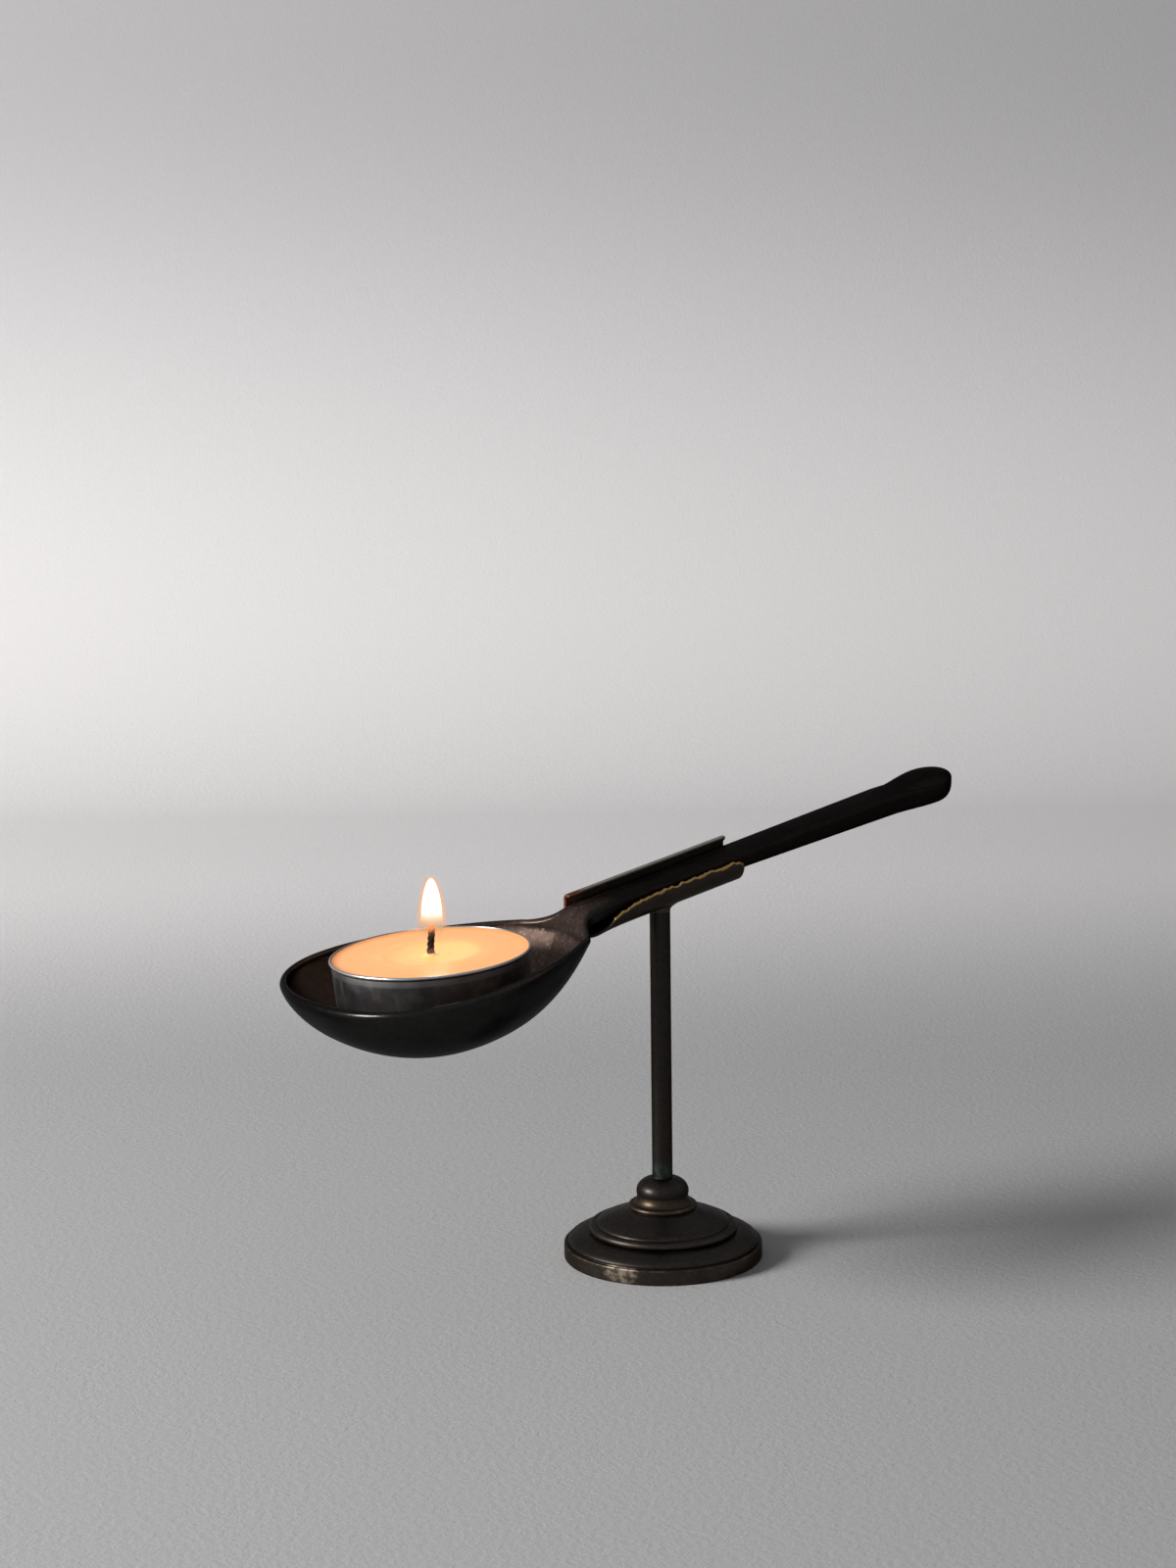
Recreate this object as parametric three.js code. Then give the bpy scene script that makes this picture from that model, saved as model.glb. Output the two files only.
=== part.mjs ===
// Candle stand: a turned foot and a round post carry a bent saddle clip. The clip holds the bar
// handle of a deep spoon, and a tealight lies in the spoon's bowl.
// Millimetres, +Z up. The origin is the centre of the foot's underside. The spoon lies along X,
// its bowl towards -X.
import * as THREE from "three";
import { mergeVertices } from "three/addons/utils/BufferGeometryUtils.js";

// Foot, from the ground up
const FOOT_RADIUS = 19.9;
const BAND_HEIGHT = 3.1;
const BAND_EDGE = 0.35;
const GROOVE_DEPTH = 0.6;
const OVOLO_HEIGHT = 2.2;
const STEP_RADIUS = 14.8;
const STEP_BEAD = 0.9;
const DOME_RADIUS = 14.4;
const DOME_RISE = 3.7;
const RING_RADIUS = 6.7;
const RING_BEAD = 0.9;
const NECK_RADIUS = 5.15;
const NECK_HEIGHT = 1.9;
const KNOB_RADIUS = 5.3;
const KNOB_HEIGHT = 3.4;
const KNOB_LAND = 2.6;

// Post: a round rod with a riveted tenon in the foot's bore
const POST_RADIUS = 2.05;
const POST_TOP = 70.5;
const TENON_RADIUS = 1.5;
const TENON_CLEARANCE = 0.1;
const RIVET_RADIUS = 2.9;

// Saddle clip: a strap of sheet bent round the handle's underside
const SHEET = 0.8;
const CLIP_RADIUS = 5.8;
const CLIP_LEFT = 19.2;
const CLIP_RIGHT = 20;
const SOLDER_GAP = 0.15;
const NEAR_EDGE_ANGLE = 83;
const FAR_RISE = 0.9;
const LIP_BEND_RADIUS = 1.1;
const LIP_BEND_ANGLE = 90;
const LIP_WIDTH = 0.9;
const RIGHT_END_SKEW = 3.1;
const LEFT_END_SKEW = 3.8;
const NEAR_CORNER_ROUND = 1.8;
const NEAR_CORNER_TRIM = 0.9;
const NEAR_EDGE_DIP = 3.2;
const NEAR_EDGE_DIP_LENGTH = 16;

// Spoon: handle
const HANDLE_PITCH = 11;
const HANDLE_SEAT = 6;
const HANDLE_WIDTH = 8.6;
const HANDLE_THICKNESS = 3.4;
const HANDLE_GROWTH = 1.6;
const HANDLE_END_WIDTH = 11.8;
const HANDLE_END_THICKNESS = 4.9;
const HANDLE_END_LIFT = 1.15;
const HANDLE_END_SWELL = 1.6;
const HANDLE_END_DOME = 2.2;
const HANDLE_FLARE = 12;
const HANDLE_REACH = 75.3;
const HANDLE_CROWN = 0.15;

// Spoon: neck and bowl
const NECK_END = 18.4;
const NECK_RUN = 6.5;
const NECK_DROP = 3.45;
const BOWL_LENGTH = 54.7;
const BOWL_WIDTH = 54.4;
const BOWL_WIDEST = 21;
const BOWL_TIP_FULLNESS = 2.3;
const SHOULDER_HALF_WIDTH = 11.6;
const FLANK_START_PULL = 0.33;
const FLANK_END_PULL = 0.2;
const FLANK_END_SPREAD = 0.24;
const NECK_PULL = 0.42;
const RIM_PITCH = 7.2;
const RIM_ARCH = 0.7;
const EDGE_THICKNESS = 1.5;
const BOWL_WALL = 1.2;
const BOWL_DEPTH = 15.7;
const DEEPEST_FROM_TIP = 31;
const HEEL_OVERHANG = 1.3;
const HEEL_FORM = { fullness: 2.4, turn: 0.8 };
const BOWL_FORM = { fullness: 2.85, turn: 0.75 };
const HANDLE_FORM = { fullness: 9, turn: 0.5 };
const HANDLE_END_FORM = { fullness: 2.6, turn: 0.5 };
const HANDLE_END_UNDERSIDE = { fullness: 7, turn: 0.5 };

// Tealight
const CANDLE_RADIUS = 19;
const CANDLE_HEIGHT = 11.8;
const CANDLE_FROM_TIP = 26.4;
const CANDLE_PITCH = 4.2;
const CANDLE_SEAT_GAP = 0.3;
const CUP_WALL = 0.25;
const CUP_TAPER = 0.5;
const CUP_RIM_ROLL = 0.35;
const CUP_FOOT_ROUND = 1.2;
const WAX_BELOW_RIM = 0.4;
const WAX_GAP = 0.15;
const POOL_RADIUS = 9;
const POOL_DEPTH = 0.4;
const WICK_RADIUS = 0.75;
const WICK_ABOVE_WAX = 5.4;
const WICK_LEAN = 0.5;
const WICK_GAP = 0.15;
const TAB_RADIUS = 6.5;
const TAB_THICKNESS = 0.3;
const COLLAR_WALL = 0.35;
const COLLAR_HEIGHT = 4;

// Finishes
const DARK_BRASS = { color: 0x3a3029, metalness: 0.9, roughness: 0.45 };
const BLACK_BRASS = { color: 0x231f1c, metalness: 0.8, roughness: 0.5 };
const ALUMINIUM = { color: 0xb9bdc4, metalness: 1, roughness: 0.25 };
const PEACH_WAX = { color: 0xf3b98a, metalness: 0, roughness: 0.4 };
const BURNT_COTTON = { color: 0x17120f, metalness: 0, roughness: 0.9 };
const TINPLATE = { color: 0xa8aaad, metalness: 1, roughness: 0.35 };

// Facets
const TURNED_SIDES = 44;
const ROD_SIDES = 24;
const FOOT_CURVE_STEPS = 5;
const CANDLE_CURVE_STEPS = 3;

// Derived heights of the foot
const ovoloTop = BAND_HEIGHT + OVOLO_HEIGHT;
const domeFoot = ovoloTop + STEP_BEAD;
const domeTop = domeFoot + DOME_RISE;
const neckFoot = domeTop + RING_BEAD;
const knobFoot = neckFoot + NECK_HEIGHT;
const knobTop = knobFoot + KNOB_HEIGHT;

const radians = THREE.MathUtils.degToRad;

// A solid of revolution about +Z from a profile drawn as radius and height.
function turned(profile, sides, curveSteps) {
  return new THREE.LatheGeometry(profile.getPoints(curveSteps), sides).rotateX(Math.PI / 2);
}

function part(name, geometry, finish) {
  const mesh = new THREE.Mesh(geometry, new THREE.MeshStandardMaterial(finish));
  mesh.name = name;
  return mesh;
}

// The corners of a skin's rings, which run from one end of a body to the other, and the faces
// between them. Each ring goes once round the body.
function skin(rings) {
  const sides = rings[0].length;
  const corners = rings.flat().flatMap((point) => point.toArray());
  const faces = [];
  for (let ring = 0; ring + 1 < rings.length; ring += 1) {
    for (let side = 0; side < sides; side += 1) {
      const here = ring * sides + side;
      const next = ring * sides + ((side + 1) % sides);
      faces.push(here, next, next + sides, here, next + sides, here + sides);
    }
  }
  return { corners, faces };
}

// Joins the corners that coincide and leaves out the faces that close up at a pole.
function corneredBody(corners, faces) {
  const raw = new THREE.BufferGeometry();
  raw.setAttribute("position", new THREE.Float32BufferAttribute(corners, 3));
  raw.setIndex(faces);
  const joined = mergeVertices(raw, 1e-3);
  const index = joined.index.array;
  const kept = [];
  for (let at = 0; at < index.length; at += 3) {
    const [a, b, c] = index.slice(at, at + 3);
    if (a !== b && b !== c && c !== a) {
      kept.push(a, b, c);
    }
  }
  joined.setIndex(kept);
  joined.computeVertexNormals();
  return joined;
}

// Foot: band, groove, ovolo, bead, dome, ring, neck and knob, with a countersunk bore for the tenon.
function foot() {
  const bore = TENON_RADIUS + TENON_CLEARANCE;
  const sink = RIVET_RADIUS + TENON_CLEARANCE;
  const groove = FOOT_RADIUS - GROOVE_DEPTH;
  const profile = new THREE.Path();
  profile.moveTo(sink, 0);
  profile.lineTo(FOOT_RADIUS - BAND_EDGE, 0);
  profile.quadraticCurveTo(FOOT_RADIUS, 0, FOOT_RADIUS, BAND_EDGE);
  profile.lineTo(FOOT_RADIUS, BAND_HEIGHT - BAND_EDGE);
  profile.quadraticCurveTo(FOOT_RADIUS, BAND_HEIGHT, groove, BAND_HEIGHT);
  profile.bezierCurveTo(
    groove, BAND_HEIGHT + OVOLO_HEIGHT / 2,
    STEP_RADIUS + OVOLO_HEIGHT, ovoloTop,
    STEP_RADIUS, ovoloTop,
  );
  profile.bezierCurveTo(
    STEP_RADIUS + STEP_BEAD / 2, ovoloTop + STEP_BEAD,
    STEP_RADIUS, domeFoot,
    DOME_RADIUS, domeFoot,
  );
  profile.bezierCurveTo(
    DOME_RADIUS, domeFoot + DOME_RISE / 2,
    (DOME_RADIUS + RING_RADIUS) / 2 - DOME_RISE / 2, domeTop - DOME_RISE / 2.5,
    RING_RADIUS, domeTop,
  );
  profile.bezierCurveTo(
    RING_RADIUS + RING_BEAD / 2, domeTop + RING_BEAD / 3,
    RING_RADIUS + RING_BEAD / 3, neckFoot,
    RING_RADIUS - RING_BEAD / 3, neckFoot,
  );
  profile.quadraticCurveTo(
    NECK_RADIUS + RING_BEAD / 2, neckFoot + NECK_HEIGHT / 3,
    NECK_RADIUS, knobFoot,
  );
  profile.bezierCurveTo(
    2 * KNOB_RADIUS - NECK_RADIUS, knobFoot + KNOB_HEIGHT / 4,
    KNOB_RADIUS, knobTop - KNOB_HEIGHT / 5,
    KNOB_LAND, knobTop,
  );
  profile.lineTo(bore, knobTop);
  profile.lineTo(bore, sink - bore);
  profile.lineTo(sink, 0);
  return turned(profile, TURNED_SIDES, FOOT_CURVE_STEPS);
}

// Post: rivet head filed flush, tenon, shoulder on the knob, and the rod, cut square at its top.
function post() {
  const profile = new THREE.Path();
  const headTop = RIVET_RADIUS - TENON_RADIUS;
  profile.moveTo(0, 0);
  profile.lineTo(RIVET_RADIUS, 0);
  profile.lineTo(TENON_RADIUS, headTop);
  profile.lineTo(TENON_RADIUS, knobTop);
  profile.lineTo(POST_RADIUS, knobTop);
  profile.lineTo(POST_RADIUS, POST_TOP);
  profile.lineTo(0, POST_TOP);
  return turned(profile, ROD_SIDES, 1);
}

// The clip's lowest line and the handle's top line both run at the handle's pitch.
const handleSlope = Math.tan(radians(HANDLE_PITCH));
const squareToHeight = 1 / Math.cos(radians(HANDLE_PITCH));
const clipFloor = POST_TOP + POST_RADIUS * handleSlope + SOLDER_GAP;
const handleTop = clipFloor + HANDLE_SEAT * squareToHeight;

// The clip's section, from the near edge under the handle to the far lip's edge. Each step has a
// point of the sheet's middle and the direction square to it, which points away from the handle.
function clipSection() {
  const middle = CLIP_RADIUS - SHEET / 2;
  const steps = [];
  const wallSteps = 16;
  for (let step = 0; step <= wallSteps; step += 1) {
    const turn = radians(THREE.MathUtils.lerp(-NEAR_EDGE_ANGLE, 90, step / wallSteps));
    const out = new THREE.Vector2(Math.sin(turn), -Math.cos(turn));
    steps.push({ at: out.clone().multiplyScalar(middle), out });
  }
  const bend = LIP_BEND_RADIUS - SHEET / 2;
  const bendCentre = new THREE.Vector2(middle - bend, FAR_RISE);
  const bendSteps = 6;
  for (let step = 0; step <= bendSteps; step += 1) {
    const turn = radians(90 + (LIP_BEND_ANGLE * step) / bendSteps);
    const out = new THREE.Vector2(Math.sin(turn), -Math.cos(turn));
    steps.push({ at: bendCentre.clone().addScaledVector(out, bend), out });
  }
  const { at, out } = steps[steps.length - 1];
  const along = new THREE.Vector2(-out.y, out.x);
  steps.push({ at: at.clone().addScaledVector(along, LIP_WIDTH), out });
  return steps;
}

// Where the strap starts and ends at a place on its section, counted from the near edge. Both ends
// are cut a little askew, the near left corner is trimmed and the near right one is round.
function clipEnds(fromNear, share) {
  const round = NEAR_CORNER_ROUND - fromNear;
  const rounded = round > 0 ? NEAR_CORNER_ROUND - Math.sqrt(NEAR_CORNER_ROUND ** 2 - round ** 2) : 0;
  const trimmed = NEAR_CORNER_TRIM * Math.max(0, 1 - fromNear / CLIP_RADIUS);
  const left = -CLIP_LEFT + LEFT_END_SKEW * (1 - share) + trimmed;
  return [left, CLIP_RIGHT - RIGHT_END_SKEW * (1 - share) - rounded];
}

// The near edge dips towards the bowl.
function nearEdgeDip(x) {
  const reach = (NEAR_EDGE_DIP_LENGTH - CLIP_LEFT - x) / NEAR_EDGE_DIP_LENGTH;
  return NEAR_EDGE_DIP * THREE.MathUtils.clamp(reach, 0, 1) ** 2;
}

// Saddle clip: the strap's grid of points, offset to both faces of the sheet and closed round its
// four edges.
function clip() {
  const section = clipSection();
  const lengthSteps = 20;
  let girth = 0;
  const fromNear = section.map(({ at }, step) => {
    girth += step > 0 ? at.distanceTo(section[step - 1].at) : 0;
    return girth;
  });
  const face = (step, along, offset) => {
    const { at, out } = section[step];
    const [left, right] = clipEnds(fromNear[step], fromNear[step] / girth);
    const x = THREE.MathUtils.lerp(left, right, along);
    const drop = nearEdgeDip(x) * Math.max(0, 1 - fromNear[step] / CLIP_RADIUS);
    const lift = CLIP_RADIUS + at.y - drop + out.y * offset;
    return new THREE.Vector3(x, at.x + out.x * offset, clipFloor + x * handleSlope + lift * squareToHeight);
  };
  const rings = [];
  for (let step = 0; step <= lengthSteps; step += 1) {
    const along = step / lengthSteps;
    const outer = section.map((unused, at) => face(at, along, SHEET / 2));
    const inner = section.map((unused, at) => face(at, along, -SHEET / 2));
    rings.push([...outer, ...inner.reverse()]);
  }
  return capped(rings);
}

// A strip of rings, closed at both ends by faces between the outer and the inner half of the ring.
function capped(rings) {
  const sides = rings[0].length;
  const { corners, faces } = skin(rings);
  const last = (rings.length - 1) * sides;
  for (let side = 0; side < sides / 2 - 1; side += 1) {
    const mirror = sides - 1 - side;
    faces.push(side, mirror, mirror - 1, side, mirror - 1, side + 1);
    const end = last + side;
    const across = last + mirror;
    faces.push(end, across - 1, across, end, end + 1, across - 1);
  }
  return corneredBody(corners, faces);
}

// The spoon's top line, seen from the side: the rim's shallow arch, the neck's rise and the handle.
const neckEnd = new THREE.Vector2(-NECK_END, handleTop - NECK_END * handleSlope);
const shoulder = new THREE.Vector2(neckEnd.x - NECK_RUN, neckEnd.y - NECK_DROP);
const rimSlope = Math.tan(radians(RIM_PITCH));
const tip = new THREE.Vector2(shoulder.x - BOWL_LENGTH, shoulder.y - BOWL_LENGTH * rimSlope);

// How far the handle has opened into its round end.
const endRadius = HANDLE_END_WIDTH / 2;
const endCentre = HANDLE_REACH - endRadius;

function handleFlare(x) {
  return THREE.MathUtils.smoothstep(x, endCentre - HANDLE_FLARE, endCentre);
}

function topLine(x) {
  if (x < shoulder.x) {
    const share = (x - tip.x) / BOWL_LENGTH;
    return tip.y + (x - tip.x) * rimSlope + 4 * RIM_ARCH * share * (1 - share);
  }
  if (x < neckEnd.x) {
    const share = (x - shoulder.x) / NECK_RUN;
    const startSlope = rimSlope - (4 * RIM_ARCH) / BOWL_LENGTH;
    return hermite(share, shoulder.y, startSlope * NECK_RUN, neckEnd.y, handleSlope * NECK_RUN);
  }
  return handleTop + x * handleSlope + HANDLE_END_LIFT * handleFlare(x);
}

// How far the edge of the handle's round end lies below its domed top.
function endDome(x) {
  return HANDLE_END_DOME * handleFlare(x);
}

// A cubic through two values with a slope at each.
function hermite(share, start, startSlope, end, endSlope) {
  const s2 = share * share;
  const s3 = s2 * share;
  return (
    start * (2 * s3 - 3 * s2 + 1) + startSlope * (s3 - 2 * s2 + share) +
    end * (3 * s2 - 2 * s3) + endSlope * (s3 - s2)
  );
}

// Half the spoon's outline in plan, as points from the tip to the handle's end.
function halfOutline() {
  const points = [];
  const halfBowl = BOWL_WIDTH / 2;
  const widestX = tip.x + BOWL_WIDEST;
  const frontSteps = 16;
  for (let step = 0; step < frontSteps; step += 1) {
    const turn = (Math.PI / 2) * (step / frontSteps);
    const x = widestX - BOWL_WIDEST * Math.cos(turn) ** (2 / BOWL_TIP_FULLNESS);
    points.push(new THREE.Vector2(x, halfBowl * Math.sin(turn) ** (2 / BOWL_TIP_FULLNESS)));
  }
  const halfHandle = HANDLE_WIDTH / 2;
  const run = shoulder.x - widestX;
  const flank = new THREE.CubicBezierCurve(
    new THREE.Vector2(widestX, halfBowl),
    new THREE.Vector2(widestX + run * FLANK_START_PULL, halfBowl),
    new THREE.Vector2(shoulder.x - run * FLANK_END_PULL, SHOULDER_HALF_WIDTH + halfBowl * FLANK_END_SPREAD),
    new THREE.Vector2(shoulder.x, SHOULDER_HALF_WIDTH),
  );
  const neck = new THREE.CubicBezierCurve(
    new THREE.Vector2(shoulder.x, SHOULDER_HALF_WIDTH),
    new THREE.Vector2(shoulder.x + NECK_RUN * NECK_PULL, (SHOULDER_HALF_WIDTH + halfHandle) / 2),
    new THREE.Vector2(shoulder.x + NECK_RUN * NECK_PULL, halfHandle),
    new THREE.Vector2(neckEnd.x, halfHandle),
  );
  points.push(...flank.getPoints(12), ...neck.getPoints(7).slice(1));
  const barSteps = 12;
  for (let step = 1; step <= barSteps; step += 1) {
    const x = THREE.MathUtils.lerp(neckEnd.x, endCentre, step / barSteps);
    const grown = halfHandle + (HANDLE_GROWTH / 2) * Math.max(0, x / endCentre);
    points.push(new THREE.Vector2(x, THREE.MathUtils.lerp(grown, endRadius, handleFlare(x))));
  }
  const endSteps = 8;
  for (let step = 1; step <= endSteps; step += 1) {
    const turn = (Math.PI / 2) * (step / endSteps);
    points.push(new THREE.Vector2(endCentre + endRadius * Math.sin(turn), endRadius * Math.cos(turn)));
  }
  return points;
}

// Grows smoothly from 0 to the distance past a point.
function softRamp(distance, softness) {
  return (distance + Math.hypot(distance, softness)) / 2;
}

// The point of the spine that an outline point's rib runs to. In the bowl's front the ribs fan out
// from its deepest point, and at the handle's end from the centre of its round.
function spineTarget(x) {
  const deepest = tip.x + DEEPEST_FROM_TIP;
  const fromBowl = deepest + softRamp(x - deepest, BOWL_WIDEST / 2);
  return endCentre - softRamp(endCentre - fromBowl, 1);
}

// How far one face of the spoon lies below its edge along the spine: the bowl's depth, closing in a
// round heel to the handle's.
function spineDepth(x, bowl, handle, end) {
  const start = tip.x + DEEPEST_FROM_TIP;
  const share = THREE.MathUtils.clamp((x - start) / (end - start), 0, 1);
  return handle + (bowl - handle) * roundShare(share, HEEL_FORM);
}

// The handle thickens evenly towards its end and swells a little in its round.
function handleThickness(x) {
  const share = THREE.MathUtils.clamp((x - CLIP_RIGHT) / (HANDLE_REACH - CLIP_RIGHT), 0, 1);
  const bar = THREE.MathUtils.lerp(HANDLE_THICKNESS, HANDLE_END_THICKNESS, share);
  return bar + HANDLE_END_SWELL * handleFlare(x);
}

// The share of the full depth at a share of the way to where it ends. A form's fullness makes it
// flatter in the middle, and a low turn rounds it more sharply at the end.
function roundShare(share, { fullness, turn }) {
  return (1 - share ** fullness) ** turn;
}

// A form part of the way from one form to another.
function blendedForm(from, to, share) {
  return {
    fullness: THREE.MathUtils.lerp(from.fullness, to.fullness, share),
    turn: THREE.MathUtils.lerp(from.turn, to.turn, share),
  };
}

const heel = shoulder.x + HEEL_OVERHANG;
const half = EDGE_THICKNESS / 2;

// One point of the spoon's skin. The rib runs from its edge to the spine, and the level goes from 0
// on the underside's spine through 1 at the edge's foot and 2 at its inner side to 3 on the top.
function spoonPoint(rib, level) {
  const { edge, inward, side } = rib;
  const target = spineTarget(edge.x);
  const place = (inset, share) => {
    const x = THREE.MathUtils.lerp(target, edge.x + inward.x * inset, share);
    const y = side * share * Math.max(0, edge.y + inward.y * inset);
    return [x, y];
  };
  const edgeLine = (x) => topLine(x) - endDome(x);
  const open = 1 - THREE.MathUtils.smoothstep(target, shoulder.x, neckEnd.x);
  const flare = handleFlare(target);
  if (level <= 1) {
    const share = Math.sin((level * Math.PI) / 2);
    const [x, y] = place(0, share);
    const handle = handleThickness(target) - endDome(target) - half;
    const depth = spineDepth(target, BOWL_DEPTH - half, handle, heel);
    const form = blendedForm(blendedForm(HANDLE_FORM, BOWL_FORM, open), HANDLE_END_UNDERSIDE, flare);
    return new THREE.Vector3(x, y, edgeLine(x) - half - depth * roundShare(share, form));
  }
  if (level <= 2) {
    const turn = (level - 1) * Math.PI;
    const rounded = turn < Math.PI / 2;
    const [x, y] = place(half * (1 - Math.cos(turn)) * (1 - flare), 1);
    const rise = rounded ? Math.sin(turn) : THREE.MathUtils.lerp(1, Math.sin(turn), open);
    return new THREE.Vector3(x, y, edgeLine(x) - half + half * rise);
  }
  const share = Math.max(0, Math.cos(((level - 2) * Math.PI) / 2));
  const [x, y] = place(EDGE_THICKNESS * (1 - flare), share);
  const crown = -HANDLE_CROWN - endDome(target);
  const depth = spineDepth(target, BOWL_DEPTH - half - BOWL_WALL, crown, heel - BOWL_WALL);
  const form = blendedForm(BOWL_FORM, HANDLE_END_FORM, flare);
  return new THREE.Vector3(x, y, edgeLine(x) - half * open - depth * roundShare(share, form));
}

// The ribs, once round the spoon, each with the direction that points in from its edge.
function spoonRibs() {
  const outline = halfOutline();
  const count = outline.length;
  const ribs = outline.map((edge, at) => {
    const before = at > 0 ? outline[at - 1] : new THREE.Vector2(outline[1].x, -outline[1].y);
    const last = outline[count - 2];
    const after = at < count - 1 ? outline[at + 1] : new THREE.Vector2(last.x, -last.y);
    const along = after.clone().sub(before).normalize();
    return { edge, inward: new THREE.Vector2(along.y, -along.x), side: 1 };
  });
  const mirrored = ribs.slice(1, -1).reverse().map((rib) => ({ ...rib, side: -1 }));
  return [...ribs, ...mirrored];
}

const UNDER_LEVELS = 8;
const EDGE_LEVELS = 4;
const TOP_LEVELS = 8;

function spoon() {
  const levels = [];
  for (let step = 0; step < UNDER_LEVELS; step += 1) {
    levels.push(step / UNDER_LEVELS);
  }
  for (let step = 0; step < EDGE_LEVELS; step += 1) {
    levels.push(1 + step / EDGE_LEVELS);
  }
  for (let step = 0; step <= TOP_LEVELS; step += 1) {
    levels.push(2 + step / TOP_LEVELS);
  }
  const ribs = spoonRibs();
  const { corners, faces } = skin(levels.reverse().map((level) => ribs.map((rib) => spoonPoint(rib, level))));
  return corneredBody(corners, faces);
}

// Where the tealight's floor lies along the tealight's own axis: just above the highest point of the
// bowl's inner face under it.
const candleX = tip.x + CANDLE_FROM_TIP;
const candleCentre = new THREE.Vector3(candleX, 0, topLine(candleX));
const candleAxis = new THREE.Vector3(-Math.sin(radians(CANDLE_PITCH)), 0, Math.cos(radians(CANDLE_PITCH)));
const cupFootRadius = CANDLE_RADIUS - CUP_RIM_ROLL - CUP_TAPER;

function candleSeat() {
  const seatSteps = 60;
  let seat = -Infinity;
  for (const rib of spoonRibs()) {
    for (let step = 0; step <= seatSteps; step += 1) {
      const point = spoonPoint(rib, 2 + step / seatSteps).sub(candleCentre);
      const height = point.dot(candleAxis);
      const across = point.addScaledVector(candleAxis, -height).length();
      if (across < cupFootRadius - CUP_FOOT_ROUND / 2) {
        seat = Math.max(seat, height);
      }
    }
  }
  return seat + CANDLE_SEAT_GAP;
}

// Tealight cup: thin floor and wall, with a rolled rim.
function cup() {
  const rimRadius = CANDLE_RADIUS - CUP_RIM_ROLL;
  const inner = rimRadius - CUP_WALL;
  const footInner = cupFootRadius - CUP_WALL;
  const round = CUP_FOOT_ROUND;
  const rollFoot = CANDLE_HEIGHT - 2 * CUP_RIM_ROLL;
  const profile = new THREE.Path();
  profile.moveTo(0, 0);
  profile.lineTo(cupFootRadius - round, 0);
  profile.quadraticCurveTo(cupFootRadius, 0, cupFootRadius, round);
  profile.lineTo(rimRadius, rollFoot);
  profile.quadraticCurveTo(CANDLE_RADIUS, rollFoot, CANDLE_RADIUS, rollFoot + CUP_RIM_ROLL);
  profile.quadraticCurveTo(CANDLE_RADIUS, CANDLE_HEIGHT, rimRadius, CANDLE_HEIGHT);
  profile.lineTo(inner, rollFoot + CUP_RIM_ROLL);
  profile.lineTo(footInner, round);
  profile.quadraticCurveTo(footInner, CUP_WALL, footInner - round + CUP_WALL, CUP_WALL);
  profile.lineTo(0, CUP_WALL);
  return turned(profile, TURNED_SIDES, CANDLE_CURVE_STEPS);
}

const waxTop = CANDLE_HEIGHT - WAX_BELOW_RIM;
const tabFloor = CUP_WALL + WAX_GAP;
const collarRadius = WICK_RADIUS + WICK_GAP + COLLAR_WALL;

// Wax: fills the cup up to a shallow melt pool, and is cast round the sustainer and the wick.
function wax() {
  const taper = CUP_TAPER / CANDLE_HEIGHT;
  const bottom = CUP_WALL + WAX_GAP;
  const footRadius = cupFootRadius - CUP_WALL - WAX_GAP - CUP_FOOT_ROUND;
  const wallRadius = cupFootRadius - CUP_WALL - WAX_GAP;
  const tabTop = tabFloor + TAB_THICKNESS + WAX_GAP;
  const collarTop = tabFloor + COLLAR_HEIGHT + WAX_GAP;
  const wickHole = WICK_RADIUS + WICK_GAP;
  const profile = new THREE.Path();
  profile.moveTo(TAB_RADIUS + WAX_GAP, bottom);
  profile.lineTo(footRadius, bottom);
  profile.quadraticCurveTo(wallRadius, bottom, wallRadius, bottom + CUP_FOOT_ROUND);
  profile.lineTo(wallRadius + waxTop * taper, waxTop);
  profile.lineTo(POOL_RADIUS, waxTop);
  profile.quadraticCurveTo(POOL_RADIUS / 2, waxTop - POOL_DEPTH, wickHole, waxTop - POOL_DEPTH);
  profile.lineTo(wickHole, collarTop);
  profile.lineTo(collarRadius + WAX_GAP, collarTop);
  profile.lineTo(collarRadius + WAX_GAP, tabTop);
  profile.lineTo(TAB_RADIUS + WAX_GAP, tabTop);
  profile.lineTo(TAB_RADIUS + WAX_GAP, bottom);
  return turned(profile, TURNED_SIDES, CANDLE_CURVE_STEPS);
}

// Wick sustainer: a tin plate with a collar that grips the wick.
function sustainer() {
  const bore = WICK_RADIUS + WICK_GAP;
  const plateTop = tabFloor + TAB_THICKNESS;
  const profile = new THREE.Path();
  profile.moveTo(bore, tabFloor);
  profile.lineTo(TAB_RADIUS, tabFloor);
  profile.lineTo(TAB_RADIUS, plateTop);
  profile.lineTo(collarRadius, plateTop);
  profile.lineTo(collarRadius, tabFloor + COLLAR_HEIGHT);
  profile.lineTo(bore, tabFloor + COLLAR_HEIGHT);
  profile.lineTo(bore, tabFloor);
  return turned(profile, ROD_SIDES, 1);
}

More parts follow.
